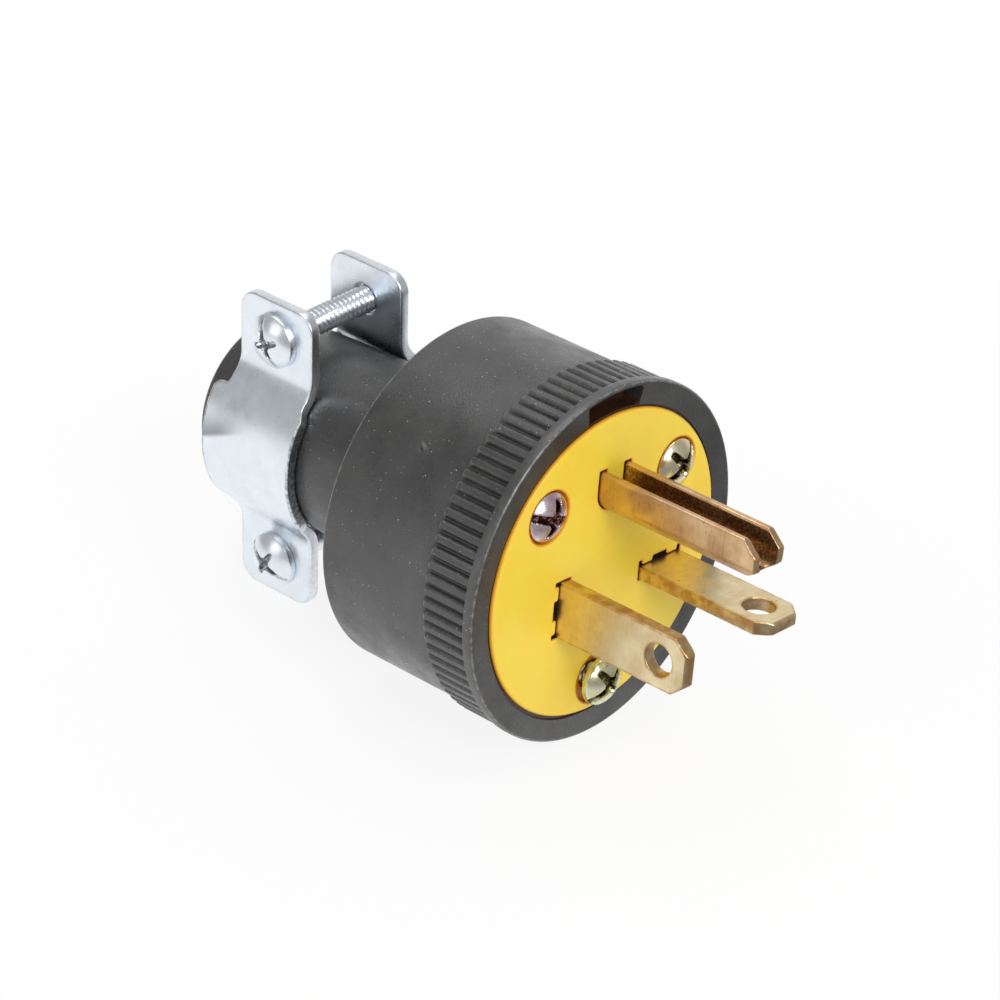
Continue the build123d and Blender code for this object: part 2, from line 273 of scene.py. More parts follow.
@dataclass
class Rim:
    """One outline of a flat piece, with the piece's metal on its left, and the wall that follows it.

    Ring k of the wall lies inset[k] inside the metal and depth[k] below the front face, and carries worn[k]
    as its edge mask: 1 on the wall and 0 on the faces, unless something else is given. On the insert the
    mask gives painted glow and painted shade, not wear.
    """

    outline: np.ndarray
    inset: np.ndarray
    depth: np.ndarray
    worn: np.ndarray | None = None

    def mask(self) -> np.ndarray:
        """The edge mask of each ring.

        Returns:
            What was given, or else 1 on every ring but the first and the last.
        """
        if self.worn is not None:
            return self.worn
        plain = np.ones(len(self.inset))
        plain[[0, -1]] = 0
        return plain


def wall(thickness: float, rounding: float, shelf: float = 0.25) -> tuple[np.ndarray, np.ndarray]:
    """Profile of a plain wall between two rounded edges.

    Each edge is a quarter circle, and a shelf on each face keeps the edge mask close to the edge.

    Args:
        thickness: From the front face to the back.
        rounding: Radius of both edges.
        shelf: Width of the ring round each face.

    Returns:
        Inset and depth of the wall's rings.
    """
    turn = np.linspace(0, math.pi / 2, WALL_STEPS + 1)
    inset, depth = rounding * (1 - np.sin(turn)), rounding * (1 - np.cos(turn))
    inset = np.concatenate([[rounding + shelf], inset, inset[::-1], [rounding + shelf]])
    return inset, np.concatenate([[0], depth, thickness - depth[::-1], [thickness]])


def filled(flat: np.ndarray, loops: Sequence[np.ndarray]) -> np.ndarray:
    """Triangles of the flat region that lies inside an odd number of loops.

    A triangle is inside a loop if a line from its middle towards +X crosses the loop an odd number of times.

    Args:
        flat: Points of the plane.
        loops: Closed loops of point numbers, which no triangle crosses.

    Returns:
        Rows of three point numbers.
    """
    edges = np.concatenate([np.stack([loop, np.roll(loop, -1)], 1) for loop in loops])
    corners = [Vector(point) for point in flat.tolist()]
    _, _, found, origins, _, _ = delaunay_2d_cdt(corners, edges.tolist(), [], 0, SAME_POINT)
    triangles = np.array([origin[0] for origin in origins])[np.array(found)]
    middle = flat[triangles].mean(1)[:, None]
    inside = np.zeros(len(middle), bool)
    for loop in loops:
        start, end = flat[loop], flat[np.roll(loop, -1)]
        rise = np.where(end[:, 1] == start[:, 1], 1.0, end[:, 1] - start[:, 1])
        crosses = (start[:, 1] > middle[..., 1]) != (end[:, 1] > middle[..., 1])
        meets = start[:, 0] + (middle[..., 1] - start[:, 1]) * (end[:, 0] - start[:, 0]) / rise
        inside ^= np.sum(crosses & (middle[..., 0] < meets), 1) % 2 == 1
    return triangles[inside]


def pierced_plate(rims: Sequence[Rim], inner: np.ndarray = NO_POINTS) -> Shell:
    """A flat piece with holes, as points of its plane and minus the depth below its front face.

    Each wall is a profile carried along an outline: its ring k is the outline plus inset[k] times the left
    normal, at depth[k]. Both faces are Delaunay triangulations between the walls' first and last rings.

    Args:
        rims: The outside and the holes.
        inner: Further points of both faces, for a piece that is bent later.

    Returns:
        The closed surface.
    """
    points, edge, faces, front, back, start = [], [], [], [], [], 0
    for rim in rims:
        rings, around = len(rim.inset), len(rim.outline)
        offset = rim.outline[None] + rim.inset[:, None, None] * left_normals(rim.outline)[None]
        depth = np.broadcast_to(-rim.depth[:, None, None], (rings, around, 1))
        points.append(np.concatenate([offset, depth], 2).reshape(-1, 3))
        edge.append(np.repeat(rim.mask(), around))
        faces.append(ring_quads(rings, around) + start)
        front.append(start + np.arange(around))
        back.append(start + (rings - 1) * around + np.arange(around))
        start += rings * around
    for level in (-rims[0].depth[0], -rims[0].depth[-1]):
        points.append(np.column_stack([inner, np.full(len(inner), level)]))
        edge.append(np.zeros(len(inner)))
    place = np.concatenate(points)
    for loops, first in ((front, start), (back, start + len(inner))):
        numbers = np.concatenate([*loops, first + np.arange(len(inner))])
        ends = np.cumsum([len(loop) for loop in loops])
        local = [np.arange(end - len(loop), end) for loop, end in zip(loops, ends)]
        cap = numbers[filled(place[numbers, :2], local)]
        faces.append(cap if loops is front else cap[:, ::-1])
    return Shell(place, faces, np.concatenate(edge))


def make_piece(name: str, shell: Shell, node_name: str, finish: Material) -> None:
    """Turn a surface into a piece that stands for a CAD node.

    Args:
        name: The piece's name.
        shell: Its surface, in millimetres.
        node_name: The CAD node that it replaces.
        finish: Its material.
    """
    shell = shell.outward()
    mesh = bpy.data.meshes.new(name)
    faces = [face for block in shell.faces for face in block.tolist()]
    mesh.from_pydata((shell.points * MM).tolist(), [], faces)
    mesh.attributes.new(EDGE, "FLOAT", "POINT").data.foreach_set("value", shell.edge.astype(np.float32))
    mesh.shade_smooth()
    mesh.set_sharp_from_angle(angle=math.radians(SHARP_ANGLE))
    mesh.materials.append(finish)
    piece = bpy.data.objects.new(name, mesh)
    bpy.context.scene.collection.objects.link(piece)
    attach(piece, BODY)
    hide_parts(node_name)
    LOG.info("%s: %d points, for %s", name, len(mesh.vertices), node_name)


@dataclass(frozen=True)
class Ribs:
    """The grip band's ribs, each with a flat crest, leaning sides and a rounded rear end.

    The columns and rows are the shares of a rib's half width, side and end round that the grid follows.
    """

    count: int = 86
    length: float = 5.8
    height: float = 0.5
    root: float = 1.36
    crest: float = 0.5
    end_round: float = 0.5
    crest_column: float = 0.7
    side_columns: tuple[float, ...] = (0.08, 0.3, 0.6, 0.95)
    end_rows: tuple[float, ...] = (-1.0, -0.75, -0.5, -0.3, -0.12, 0.0, 0.25)
    # Band on the rib sides and rear ends: wear and a painted highlight.
    wear_and_highlight_start: float = 0.5
    wear_and_highlight_full: float = 0.9
    wear_and_highlight_end: float = 0.96
    wear: float = 0.35

    @property
    def pitch(self) -> float:
        """Angle from one rib to the next."""
        return 2 * math.pi / self.count

    def columns(self, radius: float) -> np.ndarray:
        """Angles at which the grid follows the crests and sides of all ribs.

        Args:
            radius: The radius that the ribs stand on.

        Returns:
            Angles from 0 to a full turn, rib by rib.
        """
        crest, root = self.crest / 2, self.root / 2
        side = crest + (root - crest) * np.array(self.side_columns)
        half = np.append(self.crest_column * crest, side) / radius
        steps = np.concatenate([-half[::-1], half])
        middle = math.pi / 2 + self.pitch * np.arange(self.count)
        return (middle[:, None] + steps).ravel() % (2 * math.pi)

    def rows(self, start: float) -> np.ndarray:
        """Places along the axis at which the grid follows the rear ends of ribs that begin at start."""
        return start + self.length + self.end_round * np.array(self.end_rows)

    def lift(self, angle: np.ndarray, y: np.ndarray, start: float, radius: float) -> np.ndarray:
        """Height of the ribs over the body.

        Across a rib it is a smooth step from the root to the crest, and along it a quarter ellipse at the
        rear end. The height is the product of both.

        Args:
            angle: Angles of the grid's columns.
            y: Places of the grid's rows along the axis.
            start: Where the ribs begin.
            radius: The radius that they stand on.

        Returns:
            The height, by row and column.
        """
        offset = np.abs((angle - math.pi / 2 + self.pitch / 2) % self.pitch - self.pitch / 2) * radius
        across = smooth_step(-offset, -self.root / 2, -self.crest / 2)
        along = np.clip((start + self.length - y) / self.end_round, 0, 1)
        return self.height * across[None] * np.sqrt(1 - (1 - along) ** 2)[:, None]

    def worn(self, lift: np.ndarray) -> np.ndarray:
        """Edge mask of the ribs: a band high on their sides and rear ends, for wear and a painted highlight.

        Args:
            lift: Height of the ribs.

        Returns:
            The mask, as the height is laid out.
        """
        # Wear and painted highlight: the band lightens the rib sides and rear ends.
        share = lift / self.height
        rise = smooth_step(share, self.wear_and_highlight_start, self.wear_and_highlight_full)
        fall = smooth_step(share, self.wear_and_highlight_end, 1.0)
        return self.wear * rise * (1 - fall)


@dataclass(frozen=True)
class PryNotch:
    """The notch in the lip for prying the insert out, with a floor and a wall that leans outwards."""

    middle: float = -0.5
    width: float = 7.8
    wall: float = 0.55
    lean: float = 0.95
    depth: float = 2.4
    floor_share: float = 0.3
    side_round: float = 0.05
    lip_margin: float = 0.06
    seat_margin: float = 0.05
    fold_margin: float = 0.04
    fold: float = 0.02


@dataclass(frozen=True)
class GateMark:
    """The scar of the mould's gate on the body: a slanting ridge with a groove beside it.

    The spreads are the squares of the bells' widths, across and along the axis.
    """

    y: float = 13.1
    angle: float = 138.8
    slant: float = 0.5
    reach: float = 0.9
    row_count: int = 7
    ridge: float = 0.3
    ridge_spread: tuple[float, float] = (0.05, 0.22)
    groove: float = 0.25
    groove_offset: float = 0.34
    groove_spread: tuple[float, float] = (0.03, 0.18)

    def rows(self) -> np.ndarray:
        """Places along the axis at which the grid follows the mark."""
        return self.y + np.linspace(-self.reach, self.reach, self.row_count)

    def lift(self, angle: np.ndarray, y: np.ndarray, radius: float) -> np.ndarray:
        """Height of the mark over the body: a bell-shaped ridge less a bell-shaped groove.

        Args:
            angle: Angles of the grid's columns.
            y: Places of the grid's rows along the axis.
            radius: The body's radius.

        Returns:
            The height, by row and column.
        """
        along = y[:, None] - self.y
        across = (angle[None] - math.radians(self.angle)) * radius + self.slant * along
        beside = across - self.groove_offset
        ridge = np.exp(-(across**2) / self.ridge_spread[0] - along**2 / self.ridge_spread[1])
        groove = np.exp(-(beside**2) / self.groove_spread[0] - along**2 / self.groove_spread[1])
        return self.ridge * ridge - self.groove * groove


@dataclass
class Housing:
    """The rubber moulding: ribbed body, rim with a pry notch, cavity, and neck with the cord's bore.

    A name that ends in edge, root or round is the radius of an edge or of a hollow.
    """

    ribs: Ribs = Ribs()
    notch: PryNotch = PryNotch()
    gate_mark: GateMark = GateMark()
    rim_step: float = 0.7
    rim_round: float = 0.35
    collar: float = 1.3
    collar_edge: float = 0.15
    collar_slope: float = 0.1
    collar_root: float = 0.05
    body_length: float = 21.5
    body_edge: float = 0.08
    neck_start: float = 22.7
    neck_root_radius: float = 10.75
    neck_root: float = 2.0
    neck_end_radius: float = 9.65
    neck_edge: float = 0.6
    bore_radius: float = 7.4
    bore_rear_edge: float = 0.35
    bore_front_edge: float = 0.3
    cavity_end: float = 18.5
    cavity_radius: float = 16.9
    cavity_root: float = 0.5
    seat_radius: float = 18.1
    seat_end: float = 4.85
    seat_edge: float = 0.1
    lip_radius: float = 17.3
    lip_thickness: float = 0.4
    lip_front_edge: float = 0.06
    lip_rear_edge: float = 0.05
    lip_root: float = 0.03
    front_dish: float = 0.22
    line_width: float = 0.2
    line_core: float = 0.04
    sag_angle: float = 238.0
    sag_spread: float = 17.0
    sag: float = 0.5
    sag_reach: tuple[float, float] = (0.15, 0.05)
    collar_wear: float = 0.1
    collar_reach: tuple[float, float] = (0.1, 0.05)
    arc_steps: int = 4
    run_step: float = 5.0
    front_rows: int = 9
    front_margins: tuple[float, float] = (0.2, 0.1)
    rib_rows: int = 3
    rib_margins: tuple[float, float] = (0.3, 0.4)
    least_row: float = 0.04
    least_column: float = 1e-4

    def __post_init__(self) -> None:
        """Take the outer sizes from the frame."""
        _, high = node_box("housing")
        self.rim_radius = float(high[0])
        self.neck_end = float(high[1])
        self.body_radius = self.rim_radius - self.rim_step

    def corners(self) -> list[Corner]:
        """Corners of the wall's outline, from the lip over the outside to the neck and back through the bore.

        Returns:
            Radius, place along the axis and rounding of each corner.
        """
        rear_slope = (self.neck_start - self.body_length) / (self.body_radius - self.neck_root_radius)
        line_end = self.body_length + self.line_width * rear_slope
        return [
            (self.lip_radius, self.front_dish, self.lip_front_edge),
            (self.rim_radius, 0, self.rim_round),
            (self.rim_radius, self.collar, self.collar_edge),
            (self.body_radius, self.collar + self.collar_slope, self.collar_root),
            (self.body_radius, self.body_length - self.line_width, 0),
            (self.body_radius, self.body_length, self.body_edge),
            (self.body_radius - self.line_width, line_end, 0),
            (self.neck_root_radius, self.neck_start, self.neck_root),
            (self.neck_end_radius, self.neck_end, self.neck_edge),
            (self.bore_radius, self.neck_end, self.bore_rear_edge),
            (self.bore_radius, self.cavity_end, self.bore_front_edge),
            (self.cavity_radius, self.cavity_end, self.cavity_root),
            (self.cavity_radius, self.seat_end, self.seat_edge),
            (self.seat_radius, self.seat_end, self.seat_edge),
            (self.seat_radius, self.lip_thickness, self.lip_root),
            (self.lip_radius, self.lip_thickness, self.lip_rear_edge),
        ]

    def profile(self) -> np.ndarray:
        """Closed outline of the wall, with further rows on the front, the ribs and the gate mark.

        Returns:
            Radius and place along the axis of each point.
        """
        outline = rounded(self.corners(), self.run_step, self.arc_steps)
        lip_end, rim_end = self.arc_steps + 1, 3 * (self.arc_steps + 1)
        lip, rim, shell = outline[:lip_end], outline[lip_end:rim_end], outline[rim_end:]

        inner, outer = self.lip_radius, self.rim_radius
        front_end = outer - self.rim_round - self.front_margins[1]
        front = np.linspace(inner + self.front_margins[0], front_end, self.front_rows)
        front = np.stack([front, (outer - front) * self.front_dish / (outer - inner)], 1)

        ends = self.ribs.rows(self.collar)
        first, last = self.collar + self.rib_margins[0], ends[0] - self.rib_margins[1]
        extra = np.concatenate([np.linspace(first, last, self.rib_rows), ends, self.gate_mark.rows()])
        body = shell[:, 0] > self.body_radius - SAME_PLACE
        side = np.concatenate([shell[body], np.stack([np.full_like(extra, self.body_radius), extra], 1)])
        side = side[np.argsort(side[:, 1])]
        side = side[np.append(True, np.diff(side[:, 1]) > self.least_row)]
        return np.concatenate([lip, front, rim, side, shell[~body]])

    def notch_sides(self) -> np.ndarray:
        """Angles of the notch's two side walls."""
        reach = self.notch.middle + self.notch.width / 2 * np.array([1, -1])
        return np.arccos(reach / self.seat_radius)

    def notch_edges(self) -> np.ndarray:
        """Angles at which each of the notch's two sides begins and ends."""
        return self.notch_sides()[:, None] + self.notch.side_round / self.rim_radius * np.array([-1, 1])

    def angles(self) -> np.ndarray:
        """Angles of the grid's columns, on the ribs and on both sides of the pry notch.

        Returns:
            Rising angles, with no two closer than least_column.
        """
        columns = [self.ribs.columns(self.body_radius), self.notch_edges().ravel()]
        angles = np.sort(np.concatenate(columns))
        return angles[np.append(True, np.diff(angles) > self.least_column)]

    def in_notch(self, outline: np.ndarray) -> np.ndarray:
        """The wall's outline inside the notch, where the lip is gone and the front leans down to the floor.

        A point of the front at share t of the way from the lip to the notch's mouth lies on the floor as far
        as t is below floor_share, and from there on the leaning wall.

        Args:
            outline: The outline outside the notch.

        Returns:
            The same points inside the notch.
        """
        radius, y = outline[:, 0], outline[:, 1]
        mouth = self.rim_radius - self.notch.wall
        foot = mouth - self.notch.lean
        share = (radius - self.lip_radius) / (mouth - self.lip_radius)
        lean = np.clip((share - self.notch.floor_share) / (1 - self.notch.floor_share), 0, 1)
        floor = self.seat_radius + (foot - self.seat_radius) * np.clip(share / self.notch.floor_share, 0, 1)

        front = (y < self.lip_thickness - self.notch.lip_margin) & (radius < mouth)
        new_radius = np.where(front, np.where(lean > 0, foot + lean * self.notch.lean, floor), radius)
        new_y = np.where(front, self.notch.depth * (1 - lean), y)
        behind = ~front & (y < self.notch.depth) & (radius < self.seat_radius + self.notch.seat_margin)
        depth = self.notch.depth + self.notch.fold * (radius < self.seat_radius - self.notch.fold_margin)
        return np.stack([np.where(behind, self.seat_radius, new_radius), np.where(behind, depth, new_y)], 1)

    def surface(self) -> Shell:
        """The whole wall, as its outline carried round the axis.

        The radius is the outline's, plus the ribs and the gate mark on the side behind the collar, and a
        stretch where the lip has sagged away from the insert. The point is (radius cos a, y, radius sin a).

        Returns:
            The closed surface.
        """
        plain, angle = self.profile(), self.angles()
        (first, first_end), (last, last_end) = self.notch_edges()
        share = smooth_step(angle, first, first_end) * (1 - smooth_step(angle, last, last_end))
        outline = plain[:, None] + share[None, :, None] * (self.in_notch(plain) - plain)[:, None]

        on_side = (plain[:, 0] > self.body_radius - SAME_PLACE) & (plain[:, 1] > self.collar)
        on_side = on_side[:, None]
        lift = self.ribs.lift(angle, plain[:, 1], self.collar, self.body_radius) * on_side
        limit = np.maximum(self.body_radius + self.ribs.height, plain[:, 0])[:, None]
        radius = np.minimum(outline[..., 0] + lift, np.where(on_side, limit, np.inf))
        radius = radius + self.gate_mark.lift(angle, plain[:, 1], self.body_radius) * on_side

        on_lip = plain[:, 0] < self.lip_radius + self.sag_reach[0]
        on_lip &= plain[:, 1] < self.lip_thickness + self.sag_reach[1]
        away = (np.degrees(angle) - self.sag_angle) / self.sag_spread
        radius = radius + self.sag * np.exp(-(away**2)) * on_lip[:, None]

        grid = np.stack([radius * np.cos(angle), outline[..., 1], radius * np.sin(angle)], -1)
        quads = ring_quads(len(plain) + 1, len(angle)) % (len(plain) * len(angle))
        return Shell(grid.reshape(-1, 3), [quads], self.worn(plain, lift).ravel())

    def worn(self, plain: np.ndarray, lift: np.ndarray) -> np.ndarray:
        """Edge mask: the ribs, lines along the rim's and the body's rear edge, and faintly the collar.

        Args:
            plain: The wall's outline.
            lift: Height of the ribs.

        Returns:
            The mask, by row and column.
        """
        bend = self.rim_round * (1 - math.sqrt(0.5))
        lines = [(self.rim_radius - bend, bend), (self.body_radius, self.body_length)]
        near = [np.hypot(plain[:, 0] - radius, plain[:, 1] - y) for radius, y in lines]
        line = 1 - smooth_step(np.min(near, 0), self.line_core, self.line_width)
        on_collar = plain[:, 0] > self.rim_radius - self.collar_reach[0]
        on_collar &= plain[:, 1] < self.collar + self.collar_reach[1]
        return np.maximum(self.ribs.worn(lift), np.maximum(line, self.collar_wear * on_collar)[:, None])

    def build(self, finish: Material) -> None:
        """Make the housing's piece."""
        make_piece("rubber_housing", self.surface(), "housing", finish)


@dataclass(frozen=True)
class FaceScrewPlace:
    """A face screw's place, how far its head stands off its seat, and its drive's turn in degrees."""

    x: float
    z: float
    stand: float
    turn: float


@dataclass
class Insert:
    """The yellow insert's face plate, with blade slots and counterbored screw holes."""

    housing: Housing
    radius: float = 18.0
    face_radius: float = 17.05
    flange_y: float = 0.4
    edge_round: float = 0.35
    edge_steps: int = 6
    edge_shelf: float = 0.05
    edge_glow: float = 0.75
    back_chamfer: float = 0.1
    back_shelf: float = 0.4
    cut_line: float = 0.01
    pattern_shift: float = 0.25
    upright_offset: float = 6.35
    flat_offset: float = 8.73
    line_height: float = -3.1
    ground_z: float = 8.79
    slot_length: float = 6.55
    slot_width: float = 1.7
    slot_corner: float = 0.05
    slot_edge: float = 0.12
    slot_shelf: float = 0.12
    slot_shade: float = 0.5
    pocket: float = 0.55
    pocket_corner: float = 0.1
    bump_width: float = 1.7
    bump_spacing: float = 3.9
    bump_round: float = 0.3
    ground_width: float = 4.9
    ground_height: float = 4.8
    ground_metal: float = 1.1
    ground_fold: float = 2.2
    screw_radius: float = 12.9
    screw_angle: float = 40.5
    screw_drop: float = 13.4
    screw_stands: tuple[float, float, float] = (0.0, 0.2, 1.3)
    screw_turns: tuple[float, float, float] = (164.0, 40.0, 40.0)
    screw_hole: float = 3.4
    screw_hole_shelf: float = 0.3
    counterbore: float = 5.9
    counterbore_depth: float = 0.8
    counterbore_shade: float = 0.8
    outline_step: float = 0.8
    around: int = 360
    counterbore_around: int = 64

    def __post_init__(self) -> None:
        """Take the face and the back from the frame."""
        low, high = node_box("face_plate")
        self.face_y, self.back_y = float(low[1]), float(high[1])
        self.thickness = self.back_y - self.face_y

    def screw_places(self) -> list[FaceScrewPlace]:
        """The three screws: left one home, right one a little proud and bottom one most proud.

        Returns:
            The places, in that order.
        """
        angle = math.radians(self.screw_angle)
        side, rise = self.screw_radius * math.cos(angle), self.screw_radius * math.sin(angle)
        middles = [(-side, rise), (side, rise), (0.0, -self.screw_drop)]
        return [
            FaceScrewPlace(self.pattern_shift + x, z, stand, turn)
            for (x, z), stand, turn in zip(middles, self.screw_stands, self.screw_turns)
        ]

    def line_slot(self) -> np.ndarray:
        """A line blade's slot along X, with a pocket on its +Y side that two bumps divide.

        Returns:
            The clockwise outline.
        """
        end, low, high = self.slot_length / 2, -self.slot_width / 2, self.slot_width / 2
        top, corner, bump = high + self.pocket, self.pocket_corner, self.bump_round
        corners = [(-end, low, self.slot_corner), (-end, top, corner)]
        for middle in (-self.bump_spacing / 2, self.bump_spacing / 2):
            near, far = middle - self.bump_width / 2, middle + self.bump_width / 2
            corners += [(near, top, corner), (near, high, bump), (far, high, bump), (far, top, corner)]
        corners += [(end, top, corner), (end, low, self.slot_corner)]
        return rounded(corners, self.outline_step)

    def ground_slot(self) -> np.ndarray:
        """The grounding pin's slot, a U that is open at the top.

        Returns:
            The clockwise outline.
        """
        half, low, high = self.ground_width / 2, -self.ground_height / 2, self.ground_height / 2
        inner, floor = half - self.ground_metal, low + self.ground_metal
        left = [(-half, low, self.ground_fold), (-half, high, self.slot_corner)]
        left += [(-inner, high, self.slot_corner), (-inner, floor, self.ground_fold - self.ground_metal)]
        return rounded(mirrored(left), self.outline_step) + np.array([self.pattern_shift, self.ground_z])

    def flanged_edge(self) -> tuple[np.ndarray, np.ndarray, np.ndarray]:
        """The outer wall: a round into the raised face, and the flange under the lip.

        Two rings at the notch's depth divide the flange, so that it can be cut away above them.

        Returns:
            Inset, depth and edge mask of the wall's rings.
        """
        turn = np.linspace(0, math.pi / 2, self.edge_steps + 1)
        step, rise = self.radius - self.face_radius, self.flange_y - self.face_y
        cut = self.housing.notch.depth - self.face_y
        face = [(step + self.edge_round + self.edge_shelf, 0)]
        arc = np.stack([step + self.edge_round * (1 - np.sin(turn)), self.edge_round * (1 - np.cos(turn))], 1)
        flange = [
            (step, rise),
            (0, rise),
            (0, cut - self.cut_line),
            (0, cut + self.cut_line),
            (0, self.thickness - self.back_chamfer),
            (self.back_chamfer, self.thickness),
            (self.back_shelf, self.thickness),
        ]
        rings = np.concatenate([face, arc, flange])
        # Painted light on the nylon: an orange glow grows over the round, and the flange under the lip is
        # painted shade.
        on_arc = np.linspace(0, self.edge_glow, len(arc))
        worn = np.concatenate([[0], on_arc, np.ones(len(flange) - 1), [0]])
        return rings[:, 0], rings[:, 1], worn

    def slot_wall(self) -> tuple[np.ndarray, np.ndarray, np.ndarray]:
        """The wall of a slot, with a painted glow at its edge that turns to painted shade inwards.

        Returns:
            Inset, depth and edge mask of the wall's rings.
        """
        inset, depth = wall(self.thickness, self.slot_edge, self.slot_shelf)
        # Painted orange glow at the slot's edge, turning to painted shade down the wall.
        worn = np.clip(self.slot_shade + (1 - self.slot_shade) * depth / self.slot_edge, 0, 1)
        worn[[0, -1]] = 0
        return inset, depth, worn

    def bore_wall(self) -> tuple[np.ndarray, np.ndarray, np.ndarray]:
        """The wall of a counterbore with its screw hole.

        Returns:
            Inset, depth and edge mask of the wall's rings.
        """
        inset, depth = wall(self.thickness, self.slot_edge, self.slot_shelf)
        seat, hole_end = self.counterbore_depth, self.thickness - self.screw_hole_shelf
        shelf = (self.screw_hole - self.counterbore) / 2
        front = WALL_STEPS + 2
        inset = np.concatenate([inset[:front], [0, shelf, shelf, shelf]])
        depth = np.concatenate([depth[:front], [seat, seat, hole_end, self.thickness]])
        # Painted orange-brown shade on the counterbore's walls.
        return inset, depth, self.counterbore_shade * (np.arange(len(inset)) > 0)

    def open_at_notch(self, points: np.ndarray) -> np.ndarray:
        """Cut the flange away in the pry notch: the radius there is at most the lip's.

        Args:
            points: Points of the plate.

        Returns:
            The same points, moved towards the axis in the notch.
        """
        radius, angle = np.hypot(points[:, 0], points[:, 2]), np.arctan2(points[:, 2], points[:, 0])
        first, last = self.housing.notch_sides()
        open_here = (angle > first) & (angle < last) & (points[:, 1] < self.housing.notch.depth)
        share = np.minimum(1, self.housing.lip_radius / np.maximum(radius, SAME_PLACE))
        share = np.where(open_here, share, 1)
        return points * np.stack([share, np.ones_like(share), share], 1)

    def surface(self) -> Shell:
        """The plate, drawn in X and Z and carried along Y from its face.

        Returns:
            The closed surface.
        """
        on_edge = np.array([[0.0, 1.0], [-1.0, 0.0]])
        upright = self.line_slot() @ on_edge
        upright += np.array([self.pattern_shift - self.upright_offset, self.line_height])
        flat = self.line_slot() + np.array([self.pattern_shift + self.flat_offset, self.line_height])
        rims = [Rim(circle(0, 0, self.radius, self.around)[::-1], *self.flanged_edge())]
        rims += [Rim(slot, *self.slot_wall()) for slot in (upright, flat, self.ground_slot())]
        for place in self.screw_places():
            bore = circle(place.x, place.z, self.counterbore / 2, self.counterbore_around)
            rims.append(Rim(bore, *self.bore_wall()))
        carried = pierced_plate(rims).mapped(lambda p: np.stack([p[:, 0], self.face_y - p[:, 2], p[:, 1]], 1))
        return carried.mapped(self.open_at_notch)

    def build(self, finish: Material) -> None:
        """Make the face plate's piece."""
        make_piece("insert_face", self.surface(), "face_plate", finish)


@dataclass
class LineBlades:
    """The two line blades, of one stamping: blade with a tip hole, trapped shoulders, and a tail."""

    insert: Insert
    width: float = 6.35
    thickness: float = 1.5
    edge_round: float = 0.14
    edge_shelf: float = 0.2
    tip_length: float = 1.75
    tip_width: float = 1.5
    tip_corner: float = 0.4
    tip_shoulder: float = 0.5
    tip_bevel: float = 0.3
    bevel_row: float = 0.75
    bevel_points: int = 7
    hole: float = 3.5
    hole_from_tip: float = 3.65
    hole_around: int = 64
    stop_width: float = 9.4
    stop_length: float = 2.0
    tail_width: float = 7.4
    tail_reach: float = 6.6
    thread_hole: float = 3.5
    thread_around: int = 48
    outline_step: float = 0.8

    def bevelled(self, points: np.ndarray, tip: float) -> np.ndarray:
        """Put the metal's middle on Z = 0 and lean the tip's two faces in.

        The half thickness is half the metal, less the part of the bevel that the point's distance from the
        tip hasn't used up.

        Args:
            points: Points of the flat stamping.
            tip: Place of its tip along Y.

        Returns:
            The bevelled points.
        """
        half = self.thickness / 2
        short = np.clip(self.tip_bevel - (points[:, 1] - tip), 0, self.tip_bevel)
        return np.stack([points[:, 0], points[:, 1], (points[:, 2] + half) * (1 - short / half)], 1)

    def stamping(self, node_name: str) -> Shell:
        """The stamping, lying flat across X with its middle at the origin of X and Z.

        Args:
            node_name: The CAD node that gives the places of its tip and of its tail's end.

        Returns:
            The closed surface.
        """
        low, high = node_box(node_name)
        tip, tail = float(low[1]), float(high[1])
        half, stop, end = self.width / 2, self.stop_width / 2, self.tail_width / 2
        back = self.insert.back_y
        right = [(half - self.tip_width, tip, self.tip_corner)]
        right += [(half, tip + self.tip_length, self.tip_shoulder), (half, back, 0)]
        right += [(stop, back, 0), (stop, back + self.stop_length, 0)]
        right += [(end, back + self.stop_length, 0), (end, tail, 0)]
        tip_hole = circle(0, tip + self.hole_from_tip, self.hole / 2, self.hole_around)
        tail_hole = circle(0, tail - self.tail_reach / 2, self.thread_hole / 2, self.thread_around)
        outlines = (rounded(mirrored(right), self.outline_step), tip_hole, tail_hole)
        profile = wall(self.thickness, self.edge_round, self.edge_shelf)
        across = np.linspace(-half + self.tip_width, half - self.tip_width, self.bevel_points)
        bevel_line = np.stack([across, np.full_like(across, tip + self.bevel_row)], 1)
        plate = pierced_plate([Rim(outline, *profile) for outline in outlines], bevel_line)
        return plate.mapped(lambda points: self.bevelled(points, tip))

    def build(self, finish: Material) -> None:
        """Make both blades: the upright one turned onto its edge, and the flat one as it is stamped.

        Args:
            finish: Their brass.
        """
        upright_x = self.insert.pattern_shift - self.insert.upright_offset
        flat_x = self.insert.pattern_shift + self.insert.flat_offset
        z = self.insert.line_height
        upright = self.stamping("upright_blade").mapped(
            lambda p: np.stack([p[:, 2] + upright_x, p[:, 1], z - p[:, 0]], 1)
        )
        make_piece("brass_upright_blade", upright, "upright_blade", finish)
        flat = self.stamping("flat_blade").mapped(lambda p: p + np.array([flat_x, 0, z]))
        make_piece("brass_flat_blade", flat, "flat_blade", finish)


